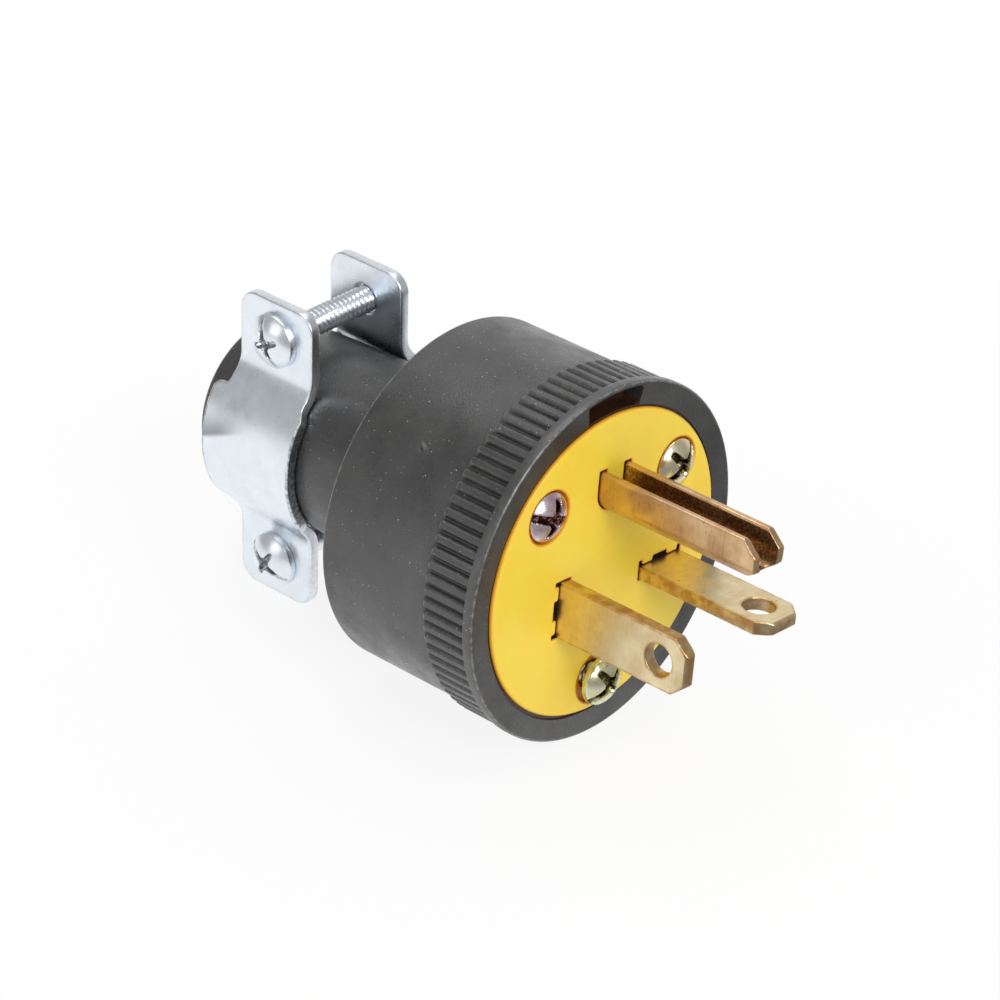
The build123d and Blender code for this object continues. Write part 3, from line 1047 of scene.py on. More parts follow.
@dataclass
class GroundPin:
    """The grounding pin: a strip folded to a U with a cut-back tip, and a flat tail inside the housing."""

    insert: Insert
    width: float = 4.7
    height: float = 4.6
    metal: float = 0.9
    fold: float = 2.1
    strip_edge: float = 0.32
    edge_round: float = 0.16
    edge_shelf: float = 0.12
    tip_length: float = 1.7
    tip_rise: float = 1.6
    toe_length: float = 2.0
    toe_rise: float = 1.3
    stop_width: float = 8.4
    stop_length: float = 2.0
    tail_width: float = 6.8
    tail_reach: float = 6.6
    thread_hole: float = 3.5
    thread_around: int = 48
    fold_step: float = 0.2
    fold_arc_steps: int = 8
    tail_step: float = 0.8
    inside_margin: float = 0.02

    def __post_init__(self) -> None:
        """Take the ends and the bottom from the frame."""
        low, high = node_box("ground_pin")
        self.tip, self.tail_end, self.base = float(low[1]), float(high[1]), float(low[2])

    def folded(self) -> Shell:
        """The pin, as its U carried along Y.

        Its tip is cut back by the larger of two slopes, one that starts below the open top and one above the
        folded bottom, and the cut fades out along the pin.

        Returns:
            The closed surface, with the inside of the U as its edge mask.
        """
        half, inner, hollow = self.width / 2, self.width / 2 - self.metal, self.fold - self.metal
        right = [(half, 0, self.fold), (half, self.height, self.strip_edge)]
        right += [(inner, self.height, self.strip_edge), (inner, self.metal, hollow)]
        length = self.insert.back_y - self.tip
        section = rounded(mirrored(right), self.fold_step, self.fold_arc_steps)
        straight = pierced_plate([Rim(section, *wall(length, self.edge_round, self.edge_shelf))])
        x, height, depth = straight.points.T
        top = (height - self.height + self.tip_rise) * self.tip_length / self.tip_rise
        toe = (self.toe_rise - height) * self.toe_length / self.toe_rise
        cut = np.maximum(np.maximum(top, toe), 0) * (1 + depth / length)
        points = np.stack([self.insert.pattern_shift + x, self.tip - depth + cut, self.base + height], 1)
        inside = (np.abs(x) < inner + self.inside_margin) & (height > self.metal - self.inside_margin)
        return Shell(points, straight.faces, inside.astype(float))

    def tail(self) -> Shell:
        """The flat tail with its stop and the terminal's hole, drawn in X and Y.

        Returns:
            The closed surface.
        """
        stop, end, back = self.stop_width / 2, self.tail_width / 2, self.insert.back_y
        right = [(stop, back, 0), (stop, back + self.stop_length, 0)]
        right += [(end, back + self.stop_length, 0), (end, self.tail_end, 0)]
        hole = circle(0, self.tail_end - self.tail_reach / 2, self.thread_hole / 2, self.thread_around)
        profile = wall(self.metal, self.edge_round)
        strip = pierced_plate([Rim(rounded(mirrored(right), self.tail_step), *profile), Rim(hole, *profile)])
        return strip.mapped(lambda p: p + np.array([self.insert.pattern_shift, 0, self.base + self.metal]))

    def build(self, finish: Material) -> None:
        """Make the pin and its tail as one piece."""
        pin = joined([self.folded(), self.tail()])
        make_piece("brass_ground_pin", pin, "ground_pin", finish)


@dataclass(frozen=True)
class Screw:
    """A domed screw with a slot and a cross, whose head sits on z = 0 and whose thread points to -Z.

    A pair for an edge is its width across the screw and its height.
    """

    thread: float
    length: float
    head: float
    height: float
    pitch: float
    thread_depth: float
    around: int = 144
    rings_per_turn: int = 7
    saw_power: float = 0.8
    run_in: float = 0.5
    run_out: float = 0.4
    tip_share: float = 0.7
    tip_length: float = 0.45
    tip_taper: float = 0.27
    neck_gap: float = 0.05
    under_edge: tuple[float, float] = (0.15, 0.12)
    rim_share: float = 0.35
    rim_edge: tuple[float, float] = (0.03, 0.1)
    crown_margin: float = 0.1
    crown_core: float = 0.02
    crown_rings: int = 44
    least_crown: float = 0.25
    drive_width: float = 0.72
    drive_round: float = 0.12
    slot_depth: float = 0.55
    cross_reach: float = 2.3
    cross_depth: float = 1.0
    cross_end: float = 0.35
    arm_width: float = 0.8
    arm_flare: float = 0.6
    pit_radius: float = 1.0
    pit_core: float = 0.3
    pit_depth: float = 1.3

    def recess(self, x: np.ndarray, y: np.ndarray) -> np.ndarray:
        """Depth of the drive: a slot right across, a cross whose arms rise to their ends, and a middle pit.

        Args:
            x: Places along the slot.
            y: Places across it.

        Returns:
            The largest of the three depths at each place.
        """
        half, soft = self.drive_width / 2, self.drive_round
        slot = self.slot_depth * (1 - smooth_step(np.abs(y), half - soft, half + soft))
        away = np.hypot(x, y)
        reach = np.clip(1 - away / self.cross_reach, 0, 1)
        width = half * (self.arm_width + self.arm_flare * reach)
        arms = [1 - smooth_step(np.abs(place) - width, -soft, soft) for place in (x, y)]
        cross = self.cross_depth * np.maximum(*arms) * smooth_step(reach, 0.0, self.cross_end)
        pit = self.pit_depth * (1 - smooth_step(away, self.pit_core * self.pit_radius, self.pit_radius))
        return np.maximum(np.maximum(slot, cross), pit)

    def rings(self) -> np.ndarray:
        """Rings from the thread's tip up to the crown, which is a sphere's cap.

        Returns:
            Radius and height of each ring.
        """
        radius, half, rim = self.thread / 2, self.head / 2, self.height * self.rim_share
        turns = max(2, round(self.length / self.pitch * self.rings_per_turn))
        shank = np.stack([np.full(turns, radius), np.linspace(-self.length, 0, turns)], 1)
        head = [
            (radius + self.neck_gap, 0),
            (half - self.under_edge[0], 0),
            (half, self.under_edge[1]),
            (half, rim - self.rim_edge[1]),
            (half - self.rim_edge[0], rim),
        ]
        dome = self.height - rim
        sphere = (half**2 + dome**2) / (2 * dome)
        crown = np.linspace(1, self.crown_core, self.crown_rings) * (half - self.crown_margin)
        crown = np.stack([crown, self.height - sphere + np.sqrt(sphere**2 - crown**2)], 1)
        return np.concatenate([[(radius * self.tip_share, -self.length)], shank, head, crown])

    def surface(self, turn: float) -> Shell:
        """The screw, as its rings cut by the thread and the drive.

        On the thread, the radius falls from the outside by the thread's depth times a rounded saw of the
        height over the pitch less the angle's share of a turn, and the saw fades out at both ends. The crown
        is lowered by the drive's depth.

        Args:
            turn: How far the drive is turned about the screw's axis, in degrees.

        Returns:
            The closed surface, with the drive as its edge mask.
        """
        ring_radius, height = self.rings().T
        angle = np.linspace(0, 2 * math.pi, self.around, endpoint=False)
        phase = (height[:, None] / self.pitch - angle[None] / (2 * math.pi)) % 1
        saw = (1 - np.abs(2 * phase - 1)) ** self.saw_power
        fade = smooth_step(height, -self.length, -self.length + self.run_in) * (height <= 0)
        fade = fade * smooth_step(-height, 0.0, self.run_out)
        tip = 1 - smooth_step(height, -self.length, -self.length + self.tip_length)
        ring_radius = ring_radius - self.tip_taper * tip * (height < 0)
        radius = ring_radius[:, None] - self.thread_depth * saw * fade[:, None]

        x, y = radius * np.cos(angle), radius * np.sin(angle)
        cosine, sine = math.cos(math.radians(turn)), math.sin(math.radians(turn))
        recess = self.recess(x * cosine + y * sine, y * cosine - x * sine)
        on_crown = (height > self.height * self.rim_share + SAME_PLACE)[:, None]
        lowered = np.maximum(height[:, None] - recess, self.least_crown)
        z = np.where(on_crown, lowered, height[:, None])
        edge = np.clip(recess / self.slot_depth, 0, 1) * on_crown
        return tube(np.stack([x, y, z], -1), edge)


@dataclass
class FaceScrews:
    """The three screws that hold the insert together."""

    insert: Insert
    screw: Screw = Screw(thread=2.9, length=10.0, head=5.5, height=1.9, pitch=0.7, thread_depth=0.3)

    def placed(self, at: FaceScrewPlace) -> Shell:
        """A screw in its counterbore, with its axis along Y and its head to the front.

        Args:
            at: Its place.

        Returns:
            The closed surface.
        """
        seat = self.insert.face_y + self.insert.counterbore_depth - at.stand
        screw = self.screw.surface(at.turn)
        return screw.mapped(lambda p: np.stack([p[:, 0] + at.x, seat - p[:, 2], p[:, 1] + at.z], 1))

    def build(self, finish: Material) -> None:
        """Make all three as one piece."""
        screws = joined([self.placed(at) for at in self.insert.screw_places()])
        make_piece("insert_screws", screws, "face_screws", finish)


@dataclass
class CordClamp:
    """The cord clamp: two bent halves, each a saddle on the neck between two flat ears, and two screws."""

    turn: float = -4.2
    metal: float = 1.25
    saddle_inner: float = 10.32
    saddle_start: float = 34.5
    saddle_width: float = 13.1
    saddle_half_height: float = 6.6
    ear_start: float = 35.05
    ear_width: float = 10.7
    ear_inner: float = 6.1
    ear_end: float = 17.7
    ear_corner: float = 2.2
    flare_round: float = 1.2
    flare_root: float = 0.5
    bend_round: float = 3.2
    edge_round: float = 0.22
    edge_shelf: float = 0.2
    ear_wear: float = 0.25
    wear_fade: float = 1.0
    screw_height: float = 13.4
    screw_end: float = 1.5
    screw_turns: tuple[float, float] = (68.0, 30.0)
    plain_hole: float = 3.6
    tapped_hole: float = 3.2
    hole_around: int = 48
    outline_step: float = 0.5
    corner_steps: int = 8
    strip_steps: int = 6000
    bend_columns: int = 97
    bend_rows: int = 7
    bend_row_span: tuple[float, float] = (0.12, 0.88)

    @property
    def screw_y(self) -> float:
        """Place of both screws along the plug."""
        return self.ear_start + self.ear_width / 2

    @property
    def ear_outer(self) -> float:
        """Distance from the middle of the plug to the outside of an ear."""
        return self.ear_inner + self.metal

    @property
    def saddle(self) -> float:
        """Radius of the saddle's middle line."""
        return self.saddle_inner + self.metal / 2

    def bend(self) -> tuple[float, float, float]:
        """The bend between an ear and the saddle.

        Its circle touches the ear's line and the saddle's circle from outside, so the centres lie as far
        apart as the two radii together.

        Returns:
            Middle radius of the bend, height of its centre and the angle that it turns through.
        """
        ear = self.ear_inner + self.metal / 2
        radius = self.bend_round + self.metal / 2
        rise = math.sqrt((self.saddle + radius) ** 2 - (ear + radius) ** 2)
        return radius, rise, math.atan2(rise, ear + radius)

    def strip(self, places: np.ndarray) -> tuple[np.ndarray, np.ndarray]:
        """Follow the bent strip from one ear's end to the other.

        The heading turns evenly along each run, and the place is the sum of small steps along the heading.

        Args:
            places: Distances along the strip from its middle.

        Returns:
            X and Z of the strip's middle line, and its normals, which point away from the neck.
        """
        radius, rise, angle = self.bend()
        ear, bend = self.ear_end - rise, radius * angle
        marks = np.append(0, np.cumsum([ear, bend, 2 * self.saddle * angle, bend, ear]))
        turns = np.append(0, np.cumsum([0, angle, -2 * angle, angle, 0]))
        step = np.linspace(0, marks[-1], self.strip_steps + 1)
        heading = np.interp(step, marks, turns) - math.pi / 2
        middle = (heading[1:] + heading[:-1]) / 2
        x = self.ear_inner + self.metal / 2 + np.append(0, np.cumsum(np.cos(middle) * step[1]))
        z = self.ear_end + np.append(0, np.cumsum(np.sin(middle) * step[1]))
        where = places + marks[-1] / 2
        direction = np.interp(where, step, heading)
        line = np.stack([np.interp(where, step, x), np.interp(where, step, z)], 1)
        return line, np.stack([-np.sin(direction), np.cos(direction)], 1)

    def blank(self, hole: float) -> Shell:
        """The flat blank before bending: X along the strip from its middle and Y along the plug.

        Args:
            hole: Diameter of the screw holes.

        Returns:
            The closed surface, whose edge mask is weaker on the ears than on the saddle.
        """
        radius, rise, angle = self.bend()
        bend_end = (self.saddle + radius) * angle
        half = self.ear_end - rise + bend_end
        flare = self.saddle * math.asin(self.saddle_half_height / self.saddle)
        ear_back, saddle_back = self.ear_start + self.ear_width, self.saddle_start + self.saddle_width
        step = self.ear_start - self.saddle_start
        right = [(flare - step, self.saddle_start, 2 * step), (flare + step, self.ear_start, 2 * step)]
        right += [(half, self.ear_start, self.ear_corner), (half, ear_back, self.ear_corner)]
        right += [(flare, ear_back, self.flare_root), (flare, saddle_back, self.flare_round)]
        profile = wall(self.metal, self.edge_round, self.edge_shelf)
        rims = [Rim(rounded(mirrored(right), self.outline_step, self.corner_steps), *profile)]
        screw_x = half - self.ear_end + self.screw_height
        for x in (-screw_x, screw_x):
            rims.append(Rim(circle(x, self.screw_y, hole / 2, self.hole_around), *profile))
        columns = np.linspace(-bend_end, bend_end, self.bend_columns)
        rows = self.ear_start + self.ear_width * np.linspace(*self.bend_row_span, self.bend_rows)
        flat = pierced_plate(rims, np.stack(np.meshgrid(columns, rows), -1).reshape(-1, 2))
        away = np.abs(flat.points[:, 0])
        on_saddle = 1 - smooth_step(away, flare - self.wear_fade, flare + self.wear_fade)
        return Shell(flat.points, flat.faces, flat.edge * (self.ear_wear + (1 - self.ear_wear) * on_saddle))

    def bent(self, points: np.ndarray, turn: float) -> np.ndarray:
        """Bend the blank: its X runs along the strip, and its depth goes across the metal.

        Args:
            points: Points of the blank.
            turn: How far the half is turned about the plug's axis, in degrees.

        Returns:
            The points of the bent half.
        """
        line, normal = self.strip(points[:, 0])
        place = line + normal * (points[:, 2, None] + self.metal / 2)
        return turned_about_axis(np.stack([place[:, 0], points[:, 1], place[:, 1]], 1), turn)

    def screws(self) -> Shell:
        """Both screws, with their heads on the near ears and their ends past the far ones.

        Returns:
            The two closed surfaces as one.
        """
        screw = Screw(
            thread=3.1,
            length=2 * self.ear_outer + self.screw_end,
            head=6.1,
            height=2.0,
            pitch=0.65,
            thread_depth=0.28,
            drive_width=0.5,
            slot_depth=0.1,
            cross_reach=1.8,
            cross_depth=0.9,
            pit_radius=0.8,
            pit_depth=1.1,
        )
        on_side = np.array([[0, 1, 0], [0, 0, 1], [-1, 0, 0]])
        pair = []
        for height, turn in zip((self.screw_height, -self.screw_height), self.screw_turns):
            seat = np.array([-self.ear_outer, self.screw_y, height])
            pair.append(screw.surface(turn).mapped(lambda p, seat=seat: p @ on_side + seat))
        return joined(pair).mapped(lambda p: turned_about_axis(p, self.turn))

    def build(self, finish: Material) -> None:
        """Make the near half, the far half and the screws.

        Args:
            finish: Their zinc plate.
        """
        half_turn = 180.0
        near = self.blank(self.plain_hole).mapped(lambda p: self.bent(p, self.turn + half_turn))
        make_piece("near_clamp", near, "plain_clamp", finish)
        far = self.blank(self.tapped_hole).mapped(lambda p: self.bent(p, self.turn))
        make_piece("far_clamp", far, "tapped_clamp", finish)
        make_piece("cord_clamp_screws", self.screws(), "clamp_screws", finish)


def node(tree: Tree, kind: str, inputs: dict[str | int, Any], **settings: Any) -> bpy.types.Node:
    """Add a node, set its options, and link or fill its inputs.

    Args:
        tree: The tree that it goes into.
        kind: Blender's name of the node's type.
        inputs: Sockets to link from, or plain values, by input name or number.
        **settings: The node's own options.

    Returns:
        The new node.
    """
    made = tree.nodes.new(kind)
    for name, value in settings.items():
        setattr(made, name, value)
    for name, value in inputs.items():
        if isinstance(value, Socket):
            tree.links.new(value, made.inputs[name])
        else:
            made.inputs[name].default_value = value
    return made


def rgba(colour: Colour) -> tuple[float, float, float, float]:
    """A colour with full alpha."""
    return (*colour, 1.0)


def computed(tree: Tree, operation: str, *values: Any) -> Socket:
    """Result of a Math node on values or sockets."""
    return node(tree, "ShaderNodeMath", dict(enumerate(values)), operation=operation).outputs[0]


def mixed(tree: Tree, share: Any, first: Any, second: Any) -> Socket:
    """Colour between two others: first where share is 0 and second where it is 1."""
    return node(tree, "ShaderNodeMix", {0: share, 6: first, 7: second}, data_type="RGBA").outputs[2]


def between(tree: Tree, share: Any, first: Any, second: Any) -> Socket:
    """Value between two others: first where share is 0 and second where it is 1."""
    return node(tree, "ShaderNodeMix", {0: share, 2: first, 3: second}, data_type="FLOAT").outputs[0]


def ranged(tree: Tree, value: Any, source: Sequence[float], target: Sequence[float] = UNIT) -> Socket:
    """A value carried from one range to another along a smooth step.

    Args:
        tree: The tree of the material or group.
        value: The value, or the socket that gives it.
        source: Its range.
        target: The range that it is carried to.

    Returns:
        The carried value.
    """
    inputs = {"Value": value, "From Min": source[0], "From Max": source[1]}
    inputs |= {"To Min": target[0], "To Max": target[1]}
    return node(tree, "ShaderNodeMapRange", inputs, interpolation_type="SMOOTHSTEP").outputs[0]


def noise(tree: Tree, place: Any, scale: Any, detail: float = 2.0, roughness: float = 0.5) -> Socket:
    """A cloud around 0.5."""
    inputs = {"Vector": place, "Scale": scale, "Detail": detail, "Roughness": roughness}
    return node(tree, "ShaderNodeTexNoise", inputs).outputs["Fac"]


def millimetres(tree: Tree, stretch: Place = (1.0, 1.0, 1.0)) -> Socket:
    """Object coordinates in millimetres.

    Args:
        tree: The material's tree.
        stretch: How far a pattern is drawn out along each axis.

    Returns:
        The coordinates.
    """
    place = node(tree, "ShaderNodeTexCoord", {}).outputs["Object"]
    scale = tuple(1 / (MM * length) for length in stretch)
    return node(tree, "ShaderNodeVectorMath", {0: place, 1: scale}, operation="MULTIPLY").outputs[0]


def new_group(name: str, inputs: dict[str, float | None], output: str) -> tuple[Tree, Any, Socket]:
    """Start a node group with one result.

    Args:
        name: The group's name.
        inputs: Names and default values; a value of None makes a vector.
        output: Name of the result.

    Returns:
        The group's tree, its inputs by name, and the socket of its result.
    """
    tree = bpy.data.node_groups.new(name, "ShaderNodeTree")
    for label, value in inputs.items():
        kind = "NodeSocketVector" if value is None else "NodeSocketFloat"
        socket = tree.interface.new_socket(label, in_out="INPUT", socket_type=kind)
        if value is not None:
            socket.default_value = value
    tree.interface.new_socket(output, in_out="OUTPUT", socket_type="NodeSocketFloat")
    given, result = tree.nodes.new("NodeGroupInput"), tree.nodes.new("NodeGroupOutput")
    return tree, given.outputs, result.inputs[output]


class Effects:
    """Effects that several finishes share, each a node group with one result."""

    cloud_range: tuple[float, float] = (0.3, 0.7)
    patch_range: tuple[float, float] = (0.55, 0.65)
    patch_shift: Place = (31.0, 17.0, 5.0)
    break_range: tuple[float, float] = (0.35, 0.65)
    broken: tuple[float, float] = (0.25, 1.0)

    def __init__(self) -> None:
        """Build every group once."""
        self.mottle = self.make_mottle()
        self.specks = self.make_specks()
        self.wear = self.make_wear_and_shade()
        self.streaks = self.make_streaks()
        self.hairs = self.make_hairs()

    def make_mottle(self) -> Tree:
        """A cloud between Low and High.

        Returns:
            The group's tree.
        """
        inputs = {"Vector": None, "Scale": 1.0, "Low": 0.0, "High": 1.0}
        tree, given, result = new_group("Mottle", inputs, "Value")
        cloud = noise(tree, given["Vector"], given["Scale"], detail=4.0, roughness=0.6)
        limits = {"Value": cloud, "From Min": self.cloud_range[0], "From Max": self.cloud_range[1]}
        limits |= {"To Min": given["Low"], "To Max": given["High"]}
        tree.links.new(node(tree, "ShaderNodeMapRange", limits).outputs[0], result)
        return tree

    def make_specks(self) -> Tree:
        """Small round specks: 1 near the middle of a Share of random cells, with radii up to Size.

        Returns:
            The group's tree.
        """
        inputs = {"Vector": None, "Scale": 1.0, "Share": 0.1, "Size": 0.2}
        tree, given, result = new_group("Specks", inputs, "Mask")
        pattern = {"Vector": given["Vector"], "Scale": given["Scale"], "Randomness": 1.0}
        cells = node(tree, "ShaderNodeTexVoronoi", pattern)
        pick = node(tree, "ShaderNodeSeparateColor", {0: cells.outputs["Color"]})
        chosen = computed(tree, "LESS_THAN", pick.outputs[0], given["Share"])
        size = computed(tree, "MULTIPLY", pick.outputs[1], given["Size"])
        near = computed(tree, "LESS_THAN", cells.outputs["Distance"], size)
        tree.links.new(computed(tree, "MULTIPLY", chosen, near), result)
        return tree

    def make_wear_and_shade(self) -> Tree:
        """Worn edges, and in some finishes a painted highlight and painted shade: the edge mask, broken up by
        a cloud, times Amount.

        Returns:
            The group's tree.
        """
        inputs = {"Vector": None, "Edge": 0.0, "Scale": 1.0, "Amount": 1.0}
        tree, given, result = new_group("EdgeWearAndShade", inputs, "Mask")
        cloud = noise(tree, given["Vector"], given["Scale"], detail=3.0)
        worn = computed(tree, "MULTIPLY", given["Edge"], ranged(tree, cloud, self.break_range, self.broken))
        tree.links.new(computed(tree, "MULTIPLY", worn, given["Amount"]), result)
        return tree

    def make_streaks(self) -> Tree:
        """Fine brush lines along the direction that the Vector is stretched in, from 0 to 1.

        Returns:
            The group's tree.
        """
        tree, given, result = new_group("Streaks", {"Vector": None, "Scale": 1.0}, "Value")
        lines = noise(tree, given["Vector"], given["Scale"], detail=5.0, roughness=0.7)
        tree.links.new(ranged(tree, lines, self.cloud_range), result)
        return tree

    def make_hairs(self) -> Tree:
        """Thin curved scratches: where a cloud is within Width of its middle, in patches, times Amount.

        Returns:
            The group's tree.
        """
        inputs = {"Vector": None, "Scale": 1.0, "Width": 0.01, "Amount": 1.0}
        tree, given, result = new_group("Hairs", inputs, "Mask")
        place, scale, middle = given["Vector"], given["Scale"], 0.5
        line = computed(tree, "COMPARE", noise(tree, place, scale), middle, given["Width"])
        shifted = node(tree, "ShaderNodeVectorMath", {0: place, 1: self.patch_shift}, operation="ADD")
        patch = ranged(tree, noise(tree, shifted.outputs[0], scale), self.patch_range)
        both = computed(tree, "MULTIPLY", line, patch)
        tree.links.new(computed(tree, "MULTIPLY", both, given["Amount"]), result)
        return tree


def use(tree: Tree, group: Tree, inputs: dict[str, Any]) -> Socket:
    """Place a shared effect in a material and give back its result."""
    return node(tree, "ShaderNodeGroup", inputs, node_tree=group).outputs[0]


def new_material(name: str) -> tuple[Material, Tree, bpy.types.Node]:
    """Start a material.

    Args:
        name: Its name.

    Returns:
        The material, its node tree and its Principled shader.
    """
    material = bpy.data.materials.new(name)
    material.use_nodes = True
    shader = next(n for n in material.node_tree.nodes if n.type == "BSDF_PRINCIPLED")
    return material, material.node_tree, shader


def edge_mask(tree: Tree) -> Socket:
    """The piece's own edge mask."""
    return node(tree, "ShaderNodeAttribute", {}, attribute_name=EDGE).outputs["Fac"]


def bumped(tree: Tree, shader: bpy.types.Node, height: Socket, depth: float) -> None:
    """Feed a height to the shader's normal, with its depth in millimetres."""
    bump = node(tree, "ShaderNodeBump", {"Height": height, "Distance": depth * MM, "Strength": 1.0})
    tree.links.new(bump.outputs[0], shader.inputs["Normal"])


@dataclass(frozen=True)
class Rubber:
    """Black moulded rubber with a soft gloss, grey worn edges with a painted highlight on the ribs, thin
    scratches and pale dust.
    """

    dark: Colour = (0.014, 0.0137, 0.0134)
    light: Colour = (0.042, 0.041, 0.0395)
    worn: Colour = (0.3, 0.295, 0.29)
    dust: Colour = (0.5, 0.5, 0.49)
    gloss: float = 1.0
    grain_depth: float = 0.015

    def material(self, effects: Effects) -> Material:
        """Clouded black, greyer on edges and in scratches, with specks of dust and a fine moulded grain.

        Args:
            effects: The shared effects.

        Returns:
            The material.
        """
        material, tree, shader = new_material("rubber")
        place = millimetres(tree)
        cloud = use(tree, effects.mottle, {"Vector": place, "Scale": 0.16})
        colour = mixed(tree, cloud, rgba(self.dark), rgba(self.light))
        # Grey edges: wear, and on the ribs also a painted highlight.
        edges = {"Vector": place, "Edge": edge_mask(tree), "Scale": 1.6, "Amount": 0.7}
        colour = mixed(tree, use(tree, effects.wear, edges), colour, rgba(self.worn))
        hairs = use(tree, effects.hairs, {"Vector": place, "Scale": 1.1, "Width": 0.006, "Amount": 0.16})
        colour = mixed(tree, hairs, colour, rgba(self.worn))
        specks = use(tree, effects.specks, {"Vector": place, "Scale": 2.6, "Share": 0.4, "Size": 0.16})
        colour = mixed(tree, specks, colour, rgba(self.dust))
        tree.links.new(colour, shader.inputs["Base Color"])
        rough = use(tree, effects.mottle, {"Vector": place, "Scale": 0.25, "Low": 0.2, "High": 0.46})
        tree.links.new(rough, shader.inputs["Roughness"])
        shader.inputs["Specular IOR Level"].default_value = self.gloss
        grain = use(tree, effects.mottle, {"Vector": place, "Scale": 4.0})
        bumped(tree, shader, grain, self.grain_depth)
        return material


@dataclass(frozen=True)
class Nylon:
    """Semi-gloss yellow nylon, with a painted orange glow round its edges and painted brown shade in its
    gaps.
    """

    lemon: Colour = (0.92, 0.71, 0.065)
    warm: Colour = (0.93, 0.63, 0.048)
    # orange is a painted glow on the edges; the dark brown after it is painted shade in the gaps.
    orange: Colour = (0.85, 0.36, 0.015)
    painted_shade: Colour = (0.04, 0.015, 0.006)
    painted_shade_from: float = 0.76

    def material(self, effects: Effects) -> Material:
        """Slightly clouded yellow, and the edge mask's lower part as a painted orange glow and its upper part
        as painted shade.

        Args:
            effects: The shared effects.

        Returns:
            The material.
        """
        material, tree, shader = new_material("yellow_nylon")
        place = millimetres(tree)
        cloud = use(tree, effects.mottle, {"Vector": place, "Scale": 0.12})
        colour = mixed(tree, cloud, rgba(self.lemon), rgba(self.warm))
        mask = edge_mask(tree)
        # Painted light: an orange glow on rounded edges and rims, then dark brown shade in the slots,
        # counterbores and flange.
        colour = mixed(tree, ranged(tree, mask, (0.0, self.painted_shade_from)), colour, rgba(self.orange))
        colour = mixed(tree, ranged(tree, mask, (self.painted_shade_from, 1.0)), colour, rgba(self.painted_shade))
        tree.links.new(colour, shader.inputs["Base Color"])
        rough = use(tree, effects.mottle, {"Vector": place, "Scale": 0.8, "Low": 0.3, "High": 0.4})
        tree.links.new(rough, shader.inputs["Roughness"])
        return material


@dataclass(frozen=True)
class Brass:
    """Satin rolled brass with weak brush lines, brown stains and coppery edges."""

    name: str
    pale: Colour = (0.86, 0.73, 0.48)
    deep: Colour = (0.66, 0.5, 0.27)
    copper: Colour = (0.52, 0.3, 0.12)
    stain: Colour = (0.4, 0.25, 0.12)
    wear_scale: float = 0.8
    stain_share: float = 0.2
    stain_stretch: Place = (1.0, 0.3, 1.0)
    line_stretch: Place = (8.0, 0.14, 8.0)
    line_strength: float = 0.35
    line_depth: float = 0.003
    roughness: tuple[float, float] = (0.28, 0.42)

    def material(self, effects: Effects) -> Material:
        """Clouds of paler and deeper brass under weak lines across the blade, with small drawn-out stains.

        Args:
            effects: The shared effects.

        Returns:
            The material.
        """
        material, tree, shader = new_material(self.name)
        place = millimetres(tree)
        lines = use(tree, effects.streaks, {"Vector": millimetres(tree, self.line_stretch), "Scale": 1.0})
        cloud = use(tree, effects.mottle, {"Vector": place, "Scale": 0.4})
        weak = ranged(tree, lines, UNIT, (1 - self.line_strength, 1.0))
        colour = mixed(tree, computed(tree, "MULTIPLY", weak, cloud), rgba(self.pale), rgba(self.deep))
        drawn_out = millimetres(tree, self.stain_stretch)
        marks = {"Vector": drawn_out, "Scale": 0.9, "Share": self.stain_share, "Size": 0.22}
        colour = mixed(tree, use(tree, effects.specks, marks), colour, rgba(self.stain))
        edges = {"Vector": place, "Edge": edge_mask(tree), "Scale": self.wear_scale, "Amount": 0.9}
        colour = mixed(tree, use(tree, effects.wear, edges), colour, rgba(self.copper))
        tree.links.new(colour, shader.inputs["Base Color"])
        shader.inputs["Metallic"].default_value = 1.0
        tree.links.new(ranged(tree, cloud, UNIT, self.roughness), shader.inputs["Roughness"])
        bumped(tree, shader, lines, self.line_depth)
        return material


# On the pin, the near-black copper goes inside the U through its edge mask, so the hollow is darker.
PIN_BRASS = Brass(
    "pin_brass",
    pale=(0.76, 0.53, 0.31),
    deep=(0.45, 0.26, 0.12),
    copper=(0.17, 0.08, 0.03),
    wear_scale=5.0,
    stain_share=0.45,
)


